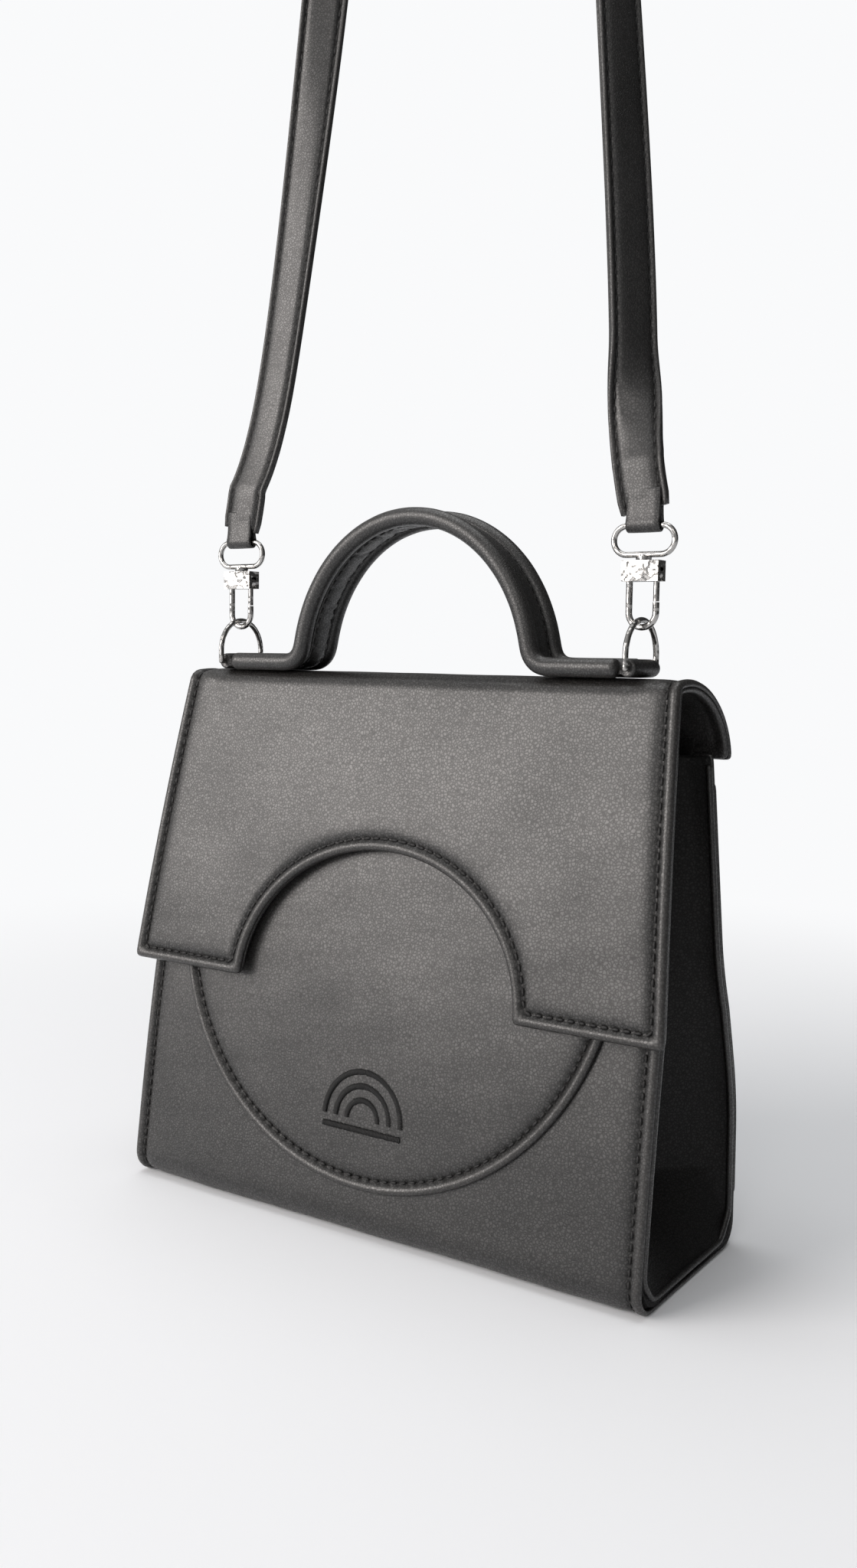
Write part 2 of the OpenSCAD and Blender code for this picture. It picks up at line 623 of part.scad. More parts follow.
// Each leg turns to face sideways at the arch, the right leg earlier than the left
function turn_share(z, low, high) = pow(sin(90 * min(1, max(0, (z - low) / (high - low)))), 2);
early_turn = 58;
early_turn_z = 318;
late_turn_z = 320;
function twist_at(z, leg) =
    leg < 0 ? 90 * turn_share(z, late_turn_z, strap_arch_z)
    : early_turn * turn_share(z, bend_low_z, early_turn_z)
        + (90 - early_turn) * turn_share(z, early_turn_z, strap_arch_z);
function strap_row(i, off) =
    let (n = unit2(side2(strap_route, i)),
         z = strap_route[i][1],
         leg = strap_route[i][0] < 0 ? -1 : 1,
         t = twist_at(z, leg),
         wide = [cos(t), sin(t), 0],
         c = [strap_route[i][0], strap_y + lean_at(z), z],
         out = t > 89.9 ? [-n[0], 0, -n[1]] : leg * [sin(t), -cos(t), 0])
    [for (s = [-1, 1]) c - s * strap_w / 2 * wide + off * out];
module strap_layer(a, b) {
    rows = [for (i = [0 : len(strap_route) - 1]) i];
    sheet([for (i = rows) strap_row(i, b)], [for (i = rows) strap_row(i, a)]);
}
module strap_face() { color(leather) strap_layer(layer_gap / 2, strap_half); }
module strap_back() { color(leather_light) strap_layer(-strap_half, -layer_gap / 2); }

// Tab folded round the swivel eye, its tails on both faces of the strap
tab_mid_r = eye_wire_r + 0.25 + tab_t / 2;
tail_y = strap_half + layer_gap + tab_t / 2;
tab_path = concat(
    [[-tail_y, eye_top_z + tail_h], [-tail_y, eye_top_z + 4]],
    arc([0, eye_top_z], tab_mid_r, 180, 360, 10),
    [[tail_y, eye_top_z + 4], [tail_y, eye_top_z + tail_h]]);
module strap_tab(side) {
    translate([side * ring_x, strap_y, 0]) along_x(tab_w) polygon(ribbon(tab_path, -tab_t / 2, tab_t / 2));
}
module strap_tab_left() { color(leather) strap_tab(-1); }
module strap_tab_right() { color(leather) strap_tab(1); }

body_wrap();
front_board();
base_board();
back_board();
lining_wrap();
gusset_left();
gusset_right();
divider();
round_patch();
patch_motif();
back_pocket();
panel_magnets();
crown();
crown_board();
crown_lining();
flap();
flap_board();
flap_lining();
flap_magnets();
handle_cover();
handle_under();
handle_core_front();
handle_core_back();
ring_loop_left();
ring_loop_right();
d_ring_left();
d_ring_right();
hook_left();
hook_right();
gate_left();
gate_right();
gate_pin_left();
gate_pin_right();
gate_spring_left();
gate_spring_right();
swivel_left();
swivel_right();
strap_face();
strap_back();
strap_tab_left();
strap_tab_right();
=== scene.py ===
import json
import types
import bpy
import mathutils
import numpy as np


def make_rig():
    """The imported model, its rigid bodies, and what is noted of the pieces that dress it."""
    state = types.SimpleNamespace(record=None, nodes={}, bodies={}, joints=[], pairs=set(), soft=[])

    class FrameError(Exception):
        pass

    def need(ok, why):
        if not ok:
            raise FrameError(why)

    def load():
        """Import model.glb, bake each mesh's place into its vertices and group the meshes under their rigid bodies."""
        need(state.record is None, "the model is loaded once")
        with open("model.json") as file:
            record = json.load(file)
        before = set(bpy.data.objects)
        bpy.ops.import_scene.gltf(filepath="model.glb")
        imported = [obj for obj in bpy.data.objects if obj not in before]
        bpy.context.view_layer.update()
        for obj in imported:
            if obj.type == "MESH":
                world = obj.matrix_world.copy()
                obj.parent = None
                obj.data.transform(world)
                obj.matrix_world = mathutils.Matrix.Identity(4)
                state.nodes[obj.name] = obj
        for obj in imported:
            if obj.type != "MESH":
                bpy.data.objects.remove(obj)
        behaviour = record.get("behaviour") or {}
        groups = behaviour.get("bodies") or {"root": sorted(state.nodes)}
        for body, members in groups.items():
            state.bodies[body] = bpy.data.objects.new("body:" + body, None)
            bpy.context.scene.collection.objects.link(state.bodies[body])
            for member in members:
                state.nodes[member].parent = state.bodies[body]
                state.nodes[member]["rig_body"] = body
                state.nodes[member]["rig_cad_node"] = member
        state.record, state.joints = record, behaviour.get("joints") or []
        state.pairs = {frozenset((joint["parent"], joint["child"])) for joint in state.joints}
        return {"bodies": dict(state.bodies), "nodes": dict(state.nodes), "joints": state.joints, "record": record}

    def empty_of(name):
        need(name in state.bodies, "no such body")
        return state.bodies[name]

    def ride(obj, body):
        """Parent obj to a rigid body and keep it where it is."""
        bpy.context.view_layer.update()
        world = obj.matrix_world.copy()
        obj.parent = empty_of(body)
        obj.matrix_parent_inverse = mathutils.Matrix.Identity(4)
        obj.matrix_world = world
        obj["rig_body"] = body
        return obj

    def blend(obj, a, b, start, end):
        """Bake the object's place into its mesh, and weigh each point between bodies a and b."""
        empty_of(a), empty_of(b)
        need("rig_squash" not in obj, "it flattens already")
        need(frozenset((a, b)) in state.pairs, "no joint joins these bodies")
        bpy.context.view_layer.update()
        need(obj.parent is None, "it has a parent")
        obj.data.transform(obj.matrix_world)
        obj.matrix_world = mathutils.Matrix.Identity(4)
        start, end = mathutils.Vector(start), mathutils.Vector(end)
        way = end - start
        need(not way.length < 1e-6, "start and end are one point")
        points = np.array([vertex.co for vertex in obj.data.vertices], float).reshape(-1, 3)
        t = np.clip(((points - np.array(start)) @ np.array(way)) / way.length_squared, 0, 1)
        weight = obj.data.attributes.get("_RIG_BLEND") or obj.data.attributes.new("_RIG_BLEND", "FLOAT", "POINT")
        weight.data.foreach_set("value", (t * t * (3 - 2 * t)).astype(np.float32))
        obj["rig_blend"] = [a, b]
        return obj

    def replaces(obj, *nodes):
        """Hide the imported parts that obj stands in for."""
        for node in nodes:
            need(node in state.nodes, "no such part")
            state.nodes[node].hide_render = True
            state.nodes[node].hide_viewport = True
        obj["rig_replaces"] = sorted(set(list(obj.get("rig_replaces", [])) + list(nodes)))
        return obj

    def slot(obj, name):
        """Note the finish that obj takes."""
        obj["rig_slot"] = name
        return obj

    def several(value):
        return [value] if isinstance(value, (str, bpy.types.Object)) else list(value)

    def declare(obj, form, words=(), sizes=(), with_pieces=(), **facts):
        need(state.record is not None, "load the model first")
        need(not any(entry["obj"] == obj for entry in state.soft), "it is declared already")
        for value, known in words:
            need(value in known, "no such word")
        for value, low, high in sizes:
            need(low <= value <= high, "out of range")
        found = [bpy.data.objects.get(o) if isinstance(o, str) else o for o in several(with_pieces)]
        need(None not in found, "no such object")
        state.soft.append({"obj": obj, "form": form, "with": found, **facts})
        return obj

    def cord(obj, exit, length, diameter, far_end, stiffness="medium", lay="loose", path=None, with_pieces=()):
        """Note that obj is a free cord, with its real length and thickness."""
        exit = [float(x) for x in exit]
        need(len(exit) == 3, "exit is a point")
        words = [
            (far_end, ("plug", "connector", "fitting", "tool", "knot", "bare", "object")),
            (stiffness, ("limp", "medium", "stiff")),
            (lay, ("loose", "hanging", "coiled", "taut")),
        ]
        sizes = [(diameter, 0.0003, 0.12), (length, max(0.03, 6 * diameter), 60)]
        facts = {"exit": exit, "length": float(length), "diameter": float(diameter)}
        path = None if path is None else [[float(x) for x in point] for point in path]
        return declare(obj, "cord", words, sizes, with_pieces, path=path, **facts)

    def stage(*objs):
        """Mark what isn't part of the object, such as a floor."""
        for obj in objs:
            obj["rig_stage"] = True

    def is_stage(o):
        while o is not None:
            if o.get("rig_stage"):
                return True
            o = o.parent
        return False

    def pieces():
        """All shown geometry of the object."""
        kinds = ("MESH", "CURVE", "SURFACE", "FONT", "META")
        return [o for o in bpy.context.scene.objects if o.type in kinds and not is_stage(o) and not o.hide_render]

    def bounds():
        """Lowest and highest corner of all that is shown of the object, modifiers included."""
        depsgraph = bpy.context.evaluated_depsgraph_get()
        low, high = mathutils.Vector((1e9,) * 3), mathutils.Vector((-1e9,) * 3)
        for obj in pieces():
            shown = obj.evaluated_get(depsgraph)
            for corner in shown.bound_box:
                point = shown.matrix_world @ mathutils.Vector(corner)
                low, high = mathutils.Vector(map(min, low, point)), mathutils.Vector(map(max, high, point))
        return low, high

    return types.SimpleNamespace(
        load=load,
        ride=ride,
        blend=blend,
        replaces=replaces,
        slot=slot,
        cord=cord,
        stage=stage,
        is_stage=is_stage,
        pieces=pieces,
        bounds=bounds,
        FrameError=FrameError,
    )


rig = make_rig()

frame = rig.load()

import json
import math
import bmesh
import bpy
import numpy as np
from mathutils import Matrix, Vector, geometry

cadLow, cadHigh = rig.bounds()
scene = bpy.context.scene
mm = 0.001
print("frame loaded")

camera = {"place": (290.9, -428.3, 210.0), "yaw": 0.5925, "pitch": 0.0932, "roll": 0.0138, "lens": 32.14}


def placeCamera():
    yaw, pitch, roll = camera["yaw"], camera["pitch"], camera["roll"]
    ahead = Vector((-math.sin(yaw) * math.cos(pitch), math.cos(yaw) * math.cos(pitch), -math.sin(pitch)))
    level = Vector((math.cos(yaw), math.sin(yaw), 0))
    rise = level.cross(ahead)
    right = level * math.cos(roll) + rise * math.sin(roll)
    up = rise * math.cos(roll) - level * math.sin(roll)
    data = bpy.data.cameras.new("camera")
    data.lens, data.sensor_width = camera["lens"], 36
    data.clip_start, data.clip_end = 0.01, 100
    obj = bpy.data.objects.new("camera", data)
    scene.collection.objects.link(obj)
    turn = Matrix((right, up, -ahead)).transposed().to_4x4()
    obj.matrix_world = Matrix.Translation(Vector(camera["place"]) * mm) @ turn
    scene.camera = obj


placeCamera()


def mix(a, b, t):
    return a + (b - a) * t


def bell(x, middle, spread):
    return np.exp(-(((x - middle) / spread) ** 2))


def softWave(u, v, seed, size):
    rng = np.random.default_rng(seed)
    total = 0
    for k in range(5):
        angle, phase = rng.uniform(0, math.pi), rng.uniform(0, 2 * math.pi)
        wave = size * rng.uniform(0.5, 1.4)
        total = total + np.sin((u * math.cos(angle) + v * math.sin(angle)) * 2 * math.pi / wave + phase)
    return total / 3


def meshObject(name, points, faces, recalc=True, marks=None):
    mesh = bpy.data.meshes.new(name)
    mesh.from_pydata((np.asarray(points, float) * mm).tolist(), [], faces)
    for key, values in (marks or {}).items():
        mesh.attributes.new(key, "FLOAT", "POINT").data.foreach_set("value", np.asarray(values, np.float32))
    mesh.polygons.foreach_set("use_smooth", [True] * len(mesh.polygons))
    obj = bpy.data.objects.new(name, mesh)
    scene.collection.objects.link(obj)
    if recalc:
        b = bmesh.new()
        b.from_mesh(mesh)
        bmesh.ops.recalc_face_normals(b, faces=b.faces)
        b.to_mesh(mesh)
        b.free()
    return obj


def baked(obj):
    graph = bpy.context.evaluated_depsgraph_get()
    mesh = bpy.data.meshes.new_from_object(obj.evaluated_get(graph))
    obj.modifiers.clear()
    obj.data = mesh
    mesh.polygons.foreach_set("use_smooth", [True] * len(mesh.polygons))
    return obj


def sweep(name, rings, marks=None):
    rings = np.asarray(rings, float)
    n, m = rings.shape[:2]
    points = rings.reshape(-1, 3).tolist() + [rings[0].mean(0).tolist(), rings[-1].mean(0).tolist()]
    faces = [(i * m + k, i * m + (k + 1) % m, (i + 1) * m + (k + 1) % m, (i + 1) * m + k)
             for i in range(n - 1) for k in range(m)]
    faces += [(k, n * m, (k + 1) % m) for k in range(m)]
    faces += [((n - 1) * m + k, (n - 1) * m + (k + 1) % m, n * m + 1) for k in range(m)]
    if marks:
        marks = {key: np.concatenate([np.asarray(v).reshape(-1), [0, 0]]) for key, v in marks.items()}
    return meshObject(name, points, faces, marks=marks)


def catmull(points, steps):
    points = np.asarray(points, float)
    padded = np.vstack([2 * points[0] - points[1], points, 2 * points[-1] - points[-2]])
    out = []
    for i in range(1, len(padded) - 2):
        a, b, c, d = padded[i - 1:i + 3]
        for k in range(steps):
            t = k / steps
            out.append(0.5 * (2 * b + (c - a) * t + (2 * a - 5 * b + 4 * c - d) * t * t
                              + (3 * b - a - 3 * c + d) * t ** 3))
    return np.array(out + [points[-1]])


def evenly(points, step, smooth=0.0):
    points = np.asarray(points, float)
    run = np.concatenate([[0], np.cumsum(np.linalg.norm(np.diff(points, axis=0), axis=1))])
    count = max(2, int(run[-1] / step) + 1)
    at = np.linspace(0, run[-1], count)
    out = np.stack([np.interp(at, run, points[:, k]) for k in range(points.shape[1])], 1)
    if smooth:
        reach = int(3 * smooth / step)
        weight = bell(np.arange(-reach, reach + 1) * step, 0, smooth * 1.414)
        weight /= weight.sum()
        head = 2 * out[0] - out[reach:0:-1]
        tail = 2 * out[-1] - out[-2:-reach - 2:-1]
        long = np.vstack([head, out, tail])
        out = np.stack([np.convolve(long[:, k], weight, "valid") for k in range(out.shape[1])], 1)
    return out


class SidePath:
    def __init__(self, points, side):
        self.points = np.asarray(points, float)
        step = np.gradient(self.points, axis=0)
        step /= np.linalg.norm(step, axis=1)[:, None]
        self.normals = side * np.stack([-step[:, 1], step[:, 0]], 1)
        self.run = np.concatenate([[0], np.cumsum(np.linalg.norm(np.diff(self.points, axis=0), axis=1))])
        self.length = self.run[-1]

    def at(self, s):
        y, z = (np.interp(s, self.run, self.points[:, k]) for k in (0, 1))
        ny, nz = (np.interp(s, self.run, self.normals[:, k]) for k in (0, 1))
        size = np.hypot(ny, nz)
        return y, z, ny / size, nz / size

    def place(self, x, s, off):
        y, z, ny, nz = self.at(s)
        return np.stack([np.broadcast_to(x, np.shape(y)), y + ny * off, z + nz * off], -1)

    def whereHigh(self, z, last=False):
        order = np.nonzero(np.diff(np.sign(self.points[:, 1] - z)))[0]
        i = order[-1] if last else order[0]
        a, b = self.points[i, 1], self.points[i + 1, 1]
        return self.run[i] + (z - a) / (b - a) * (self.run[i + 1] - self.run[i])


body = {"width": 223.0, "mouthWidth": 206.0, "height": 181.0, "backHeight": 177.0, "baseRound": 9.0,
        "shoulder": 86.88, "bow": 2.8}


def frontY(z):
    t = np.asarray(z, float) / body["height"]
    return mix(-39.5, -8.55, t) - body["bow"] * 4 * t * (1 - t)


def backY(z):
    fall = 0.5 - 0.5 * np.cos(np.pi * np.clip((np.asarray(z, float) - 41.63) / (112.22 - 41.63), 0, 1))
    return mix(39.5, 26.95, fall)


def halfWidth(z):
    z = np.asarray(z, float)
    wide, mouth = body["width"] / 2, body["mouthWidth"] / 2
    high = mix(wide - 1, mouth, (z - body["shoulder"]) / (body["height"] - body["shoulder"]))
    return np.where(z < body["shoulder"], wide - z / body["shoulder"], high)


def wrapPoints():
    r = body["baseRound"]
    down = np.linspace(body["height"], r, 120)
    front = np.stack([frontY(down), down], 1)
    turn = np.radians(np.linspace(180, 270, 14)[1:])
    corner = np.stack([frontY(r) + r + r * np.cos(turn), r + r * np.sin(turn)], 1)
    turn = np.radians(np.linspace(270, 360, 14)[:-1])
    heel = np.stack([39.5 - r + r * np.cos(turn), r + r * np.sin(turn)], 1)
    up = np.linspace(r, body["backHeight"], 120)
    back = np.stack([backY(up), up], 1)
    return evenly(np.vstack([front, corner, heel, back]), 0.8, 1.2)


wrapPath = SidePath(wrapPoints(), -1)


def joined(*runs):
    return np.vstack([r[:-1] for r in runs])


def line(a, b, count):
    t = np.linspace(0, 1, count + 1)[:, None]
    return np.asarray(a, float) + (np.asarray(b, float) - np.asarray(a, float)) * t


def rounded(loop, times):
    for _ in range(times):
        loop = 0.5 * loop + 0.25 * (np.roll(loop, 1, 0) + np.roll(loop, -1, 0))
    return loop


def insideOf(points, loop):
    x, y = points[:, 0][:, None], points[:, 1][:, None]
    ax, ay = loop[:, 0][None], loop[:, 1][None]
    bx, by = np.roll(loop, -1, 0)[:, 0][None], np.roll(loop, -1, 0)[:, 1][None]
    with np.errstate(divide="ignore", invalid="ignore"):
        hit = ((ay > y) != (by > y)) & (x < (bx - ax) * (y - ay) / (by - ay) + ax)
    near = (np.hypot(x - ax, y - ay)).min(1)
    return hit.sum(1) % 2 == 1, near


def filled(loop, step):
    low, high = loop.min(0), loop.max(0)
    gx, gy = np.meshgrid(np.arange(low[0], high[0], step), np.arange(low[1], high[1], step * 0.866))
    gx = gx + (np.arange(gx.shape[0]) % 2)[:, None] * step / 2
    grid = np.stack([gx.ravel(), gy.ravel()], 1)
    keep, near = insideOf(grid, loop)
    grid = grid[keep & (near > step * 0.6)]
    count = len(loop)
    points = [Vector(p) for p in np.vstack([loop, grid])]
    edges = [(i, (i + 1) % count) for i in range(count)]
    done = geometry.delaunay_2d_cdt(points, edges, [], 1, 1e-6)
    return np.array([tuple(p) for p in done[0]]), [tuple(f) for f in done[2]], done[3]


def stitchPhase(loop3d, pitch):
    step = np.linalg.norm(np.roll(loop3d, -1, 0) - loop3d, axis=1)
    run = np.concatenate([[0], np.cumsum(step)])
    spacing = run[-1] / int(run[-1] / pitch)
    return 2 * math.pi * run[:-1] / spacing


def panel(name, loopAt, profile, place, stitch=4.4, pitch=4.0, fill=3.2, wave=None, pucker=0.14, fillBack=6.0,
          floor=None):
    n = len(loopAt(0.0))
    phase = stitchPhase(place(*loopAt(stitch).T, 0.0), pitch) if stitch else np.zeros(n)
    points, seam, edge = [], [], []
    outer = profile[0][1] > profile[-1][1]
    turn = int(np.argmin([p[0] for p in profile]))
    for k, (d, off) in enumerate(profile):
        loop = loopAt(d)
        onFace = k <= turn if outer else k >= turn
        extra = np.zeros(n)
        if onFace:
            if stitch:
                extra = extra - pucker * (0.5 + 0.5 * np.cos(phase)) * bell(d, stitch, 1.7)
            if wave:
                extra = extra + wave(loop[:, 0], loop[:, 1]) * min(1, d / 9) ** 2
        sign = 1 if outer else -1
        points.append(place(loop[:, 0], loop[:, 1], off + sign * extra))
        # seam mask: marks the stitch groove, where the leather colour gets painted shade
        cut = bell(d, stitch, 1.1) * (0.68 + 0.32 * np.cos(phase)) if stitch and onFace else np.zeros(n)
        seam.append(np.clip(cut, 0, 1))
        # edge mask: marks the rim bead, where the leather colour gets a painted highlight
        edge.append(np.full(n, float(bell(d, 1.4, 1.3)) if onFace else 0.0))
    faces = [(a * n + i, a * n + (i + 1) % n, (a + 1) * n + (i + 1) % n, (a + 1) * n + i)
             for a in range(len(profile) - 1) for i in range(n)]
    count = len(profile) * n
    for k, step in ((0, fill if outer else fillBack), (len(profile) - 1, fillBack if outer else fill)):
        d, off = profile[k]
        flat, tris, origin = filled(loopAt(d), step)
        onFace = (k == 0) == outer
        extra = wave(flat[:, 0], flat[:, 1]) if wave and onFace else np.zeros(len(flat))
        spots = place(flat[:, 0], flat[:, 1], off + (1 if outer else -1) * extra)
        names = {}
        fresh = []
        for i, source in enumerate(origin):
            ring = [q for q in source if q < n]
            if ring:
                names[i] = k * n + ring[0]
            else:
                names[i] = count + len(fresh)
                fresh.append(spots[i])
        faces += [tuple(names[i] for i in f) for f in tris]
        if fresh:
            points.append(np.array(fresh))
            seam.append(np.zeros(len(fresh)))
            edge.append(np.zeros(len(fresh)))
            count += len(fresh)
    points = np.vstack(points)
    if floor is not None:
        points[:, 2] = np.maximum(points[:, 2], floor)
    return meshObject(name, points, faces, marks={"seam": np.concatenate(seam), "edge": np.concatenate(edge)})


def addNode(tree, kind, inputs=None, **settings):
    made = tree.nodes.new(kind)
    for key, value in settings.items():
        setattr(made, key, value)
    for key, value in (inputs or {}).items():
        if isinstance(value, bpy.types.NodeSocket):
            tree.links.new(value, made.inputs[key])
        else:
            made.inputs[key].default_value = value
    return made


def maths(tree, operation, a, b=0.0, clamp=False):
    return addNode(tree, "ShaderNodeMath", {0: a, 1: b}, operation=operation, use_clamp=clamp).outputs[0]


def ramp(tree, value, low, high, toLow=0.0, toHigh=1.0):
    return addNode(tree, "ShaderNodeMapRange", {"Value": value, "From Min": low, "From Max": high,
                                                "To Min": toLow, "To Max": toHigh}).outputs["Result"]


def noise(tree, at, scale, detail, out="Fac"):
    inputs = {"Vector": at, "Scale": scale, "Detail": detail}
    return addNode(tree, "ShaderNodeTexNoise", inputs).outputs[out]


def tinted(colour, share):
    return tuple(c * share for c in colour)


def blendColour(tree, factor, a, b, kind="MIX"):
    made = tree.nodes.new("ShaderNodeMix")
    made.data_type, made.blend_type = "RGBA", kind
    for key, value in ((0, factor), (6, a), (7, b)):
        if isinstance(value, bpy.types.NodeSocket):
            tree.links.new(value, made.inputs[key])
        else:
            made.inputs[key].default_value = value if key == 0 else (*value, 1.0)
    return made.outputs[2]


def shaderGroup(name, ins, outs):
    tree = bpy.data.node_groups.new(name, "ShaderNodeTree")
    for key, kind, value in ins:
        socket = tree.interface.new_socket(key, in_out="INPUT", socket_type=kind)
        if value is not None:
            socket.default_value = value
    for key in outs:
        tree.interface.new_socket(key, in_out="OUTPUT", socket_type="NodeSocketFloat")
    return tree, tree.nodes.new("NodeGroupInput"), tree.nodes.new("NodeGroupOutput")


def grainGroup():
    tree, start, end = shaderGroup("leatherGrain", [
        ("Position", "NodeSocketVector", None), ("Pebble", "NodeSocketFloat", 1.0),
        ("Creasing", "NodeSocketFloat", 0.4)], ["Height", "Valley", "Tone"])
    spot = addNode(tree, "ShaderNodeVectorMath", {0: start.outputs["Position"], 1: (1000, 1000, 1000)},
                   operation="MULTIPLY").outputs[0]
    bend = noise(tree, spot, 0.55, 2.0, "Color")
    warped = addNode(tree, "ShaderNodeVectorMath", {0: bend, 1: (0.9, 0.9, 0.9), 2: spot},
                     operation="MULTIPLY_ADD").outputs[0]
    size = maths(tree, "DIVIDE", 1.0, start.outputs["Pebble"])
    cells = addNode(tree, "ShaderNodeTexVoronoi", {"Vector": warped, "Scale": size, "Randomness": 1.0},
                    feature="DISTANCE_TO_EDGE").outputs["Distance"]
    pebble = ramp(tree, cells, 0.0, 0.28)
    fine = noise(tree, spot, 2.6, 3.0)
    longer = addNode(tree, "ShaderNodeMapping", {"Vector": spot, "Rotation": (0, 0.6, 0.2),
                                                 "Scale": (0.10, 0.16, 0.26)}).outputs[0]
    crease = addNode(tree, "ShaderNodeTexNoise", {"Vector": longer, "Scale": 1.6, "Detail": 4.0,
                                                  "Distortion": 0.6}, noise_dimensions="3D").outputs["Fac"]
    fold = ramp(tree, maths(tree, "ABSOLUTE", maths(tree, "SUBTRACT", crease, 0.5)), 0.0, 0.05)
    broad = noise(tree, spot, 0.035, 3.0)
    height = maths(tree, "ADD", maths(tree, "MULTIPLY", pebble, 0.62), maths(tree, "MULTIPLY", fine, 0.35))
    height = maths(tree, "ADD", height, maths(tree, "MULTIPLY", fold, start.outputs["Creasing"]))
    tree.links.new(height, end.inputs["Height"])
    tree.links.new(maths(tree, "SUBTRACT", 1.0, pebble), end.inputs["Valley"])
    tree.links.new(broad, end.inputs["Tone"])
    return tree


def weaveGroup():
    tree, start, end = shaderGroup("clothWeave", [
        ("Position", "NodeSocketVector", None), ("Thread", "NodeSocketFloat", 0.5)], ["Height", "Tone"])
    scale = maths(tree, "DIVIDE", 1000 * math.pi, start.outputs["Thread"])
    spot = addNode(tree, "ShaderNodeVectorMath", {0: start.outputs["Position"]}, operation="SCALE")
    tree.links.new(scale, spot.inputs["Scale"])
    part = addNode(tree, "ShaderNodeSeparateXYZ", {0: spot.outputs[0]})
    across = maths(tree, "SINE", part.outputs[0])
    slope = maths(tree, "ADD", part.outputs[1], part.outputs[2])
    upward = maths(tree, "SINE", slope)
    crossing = maths(tree, "MULTIPLY", across, upward)
    fuzz = addNode(tree, "ShaderNodeTexNoise", {"Vector": spot.outputs[0], "Scale": 0.4}).outputs["Fac"]
    tree.links.new(maths(tree, "ADD", maths(tree, "MULTIPLY", crossing, 0.5), fuzz), end.inputs["Height"])
    tree.links.new(ramp(tree, crossing, -1.0, 1.0), end.inputs["Tone"])
    return tree


ripple = {"scale": 0.30, "share": 9.0, "hairShare": 0.08}


def scuffGroup():
    tree, start, end = shaderGroup("metalScuffs", [
        ("Position", "NodeSocketVector", None), ("Amount", "NodeSocketFloat", 0.1)],
        ["Roughness", "Height", "Tone"])
    spot = addNode(tree, "ShaderNodeVectorMath", {0: start.outputs["Position"], 1: (1000, 1000, 1000)},
                   operation="MULTIPLY").outputs[0]
    cloudy = noise(tree, spot, 0.35, 4.0)
    drawn = addNode(tree, "ShaderNodeMapping", {"Vector": spot, "Scale": (3.0, 3.0, 0.3)}).outputs[0]
    hair = noise(tree, drawn, 2.2, 2.0)
    rubbed = ramp(tree, maths(tree, "ADD", cloudy, hair), 0.7, 1.3)
    rough = maths(tree, "MULTIPLY", rubbed, start.outputs["Amount"])
    tree.links.new(maths(tree, "ADD", rough, 0.07), end.inputs["Roughness"])
    wavy = noise(tree, spot, ripple["scale"], 1.0)
    height = maths(tree, "ADD", maths(tree, "MULTIPLY", wavy, ripple["share"]),
                   maths(tree, "MULTIPLY", hair, ripple["hairShare"]))
    tree.links.new(height, end.inputs["Height"])
    tree.links.new(cloudy, end.inputs["Tone"])
    return tree


groups = {"grain": grainGroup(), "weave": weaveGroup(), "scuffs": scuffGroup()}


def newMaterial(name, **constants):
    material = bpy.data.materials.new(name)
    material.use_nodes = True
    tree = material.node_tree
    shader = tree.nodes["Principled BSDF"]
    for key, value in constants.items():
        shader.inputs[key.replace("_", " ")].default_value = value
    spot = addNode(tree, "ShaderNodeTexCoord").outputs["Object"]
    return material, tree, shader, spot


def grouped(tree, key, **inputs):
    made = tree.nodes.new("ShaderNodeGroup")
    made.node_tree = groups[key]
    for name, value in inputs.items():
        if isinstance(value, bpy.types.NodeSocket):
            tree.links.new(value, made.inputs[name])
        else:
            made.inputs[name].default_value = value
    return made


def bumped(tree, shader, height, strength, distance):
    bump = addNode(tree, "ShaderNodeBump", {"Height": height, "Strength": strength, "Distance": distance})
    tree.links.new(bump.outputs[0], shader.inputs["Normal"])


coat = {"roughness": 0.36, "index": 1.62}
relief = {"leather": 1.0, "cloth": (0.6, 0.00008), "metal": (0.6, 0.00012), "thread": (0.5, 0.00006),
          "board": (0.4, 0.0001)}                     # bump strength and height in metres


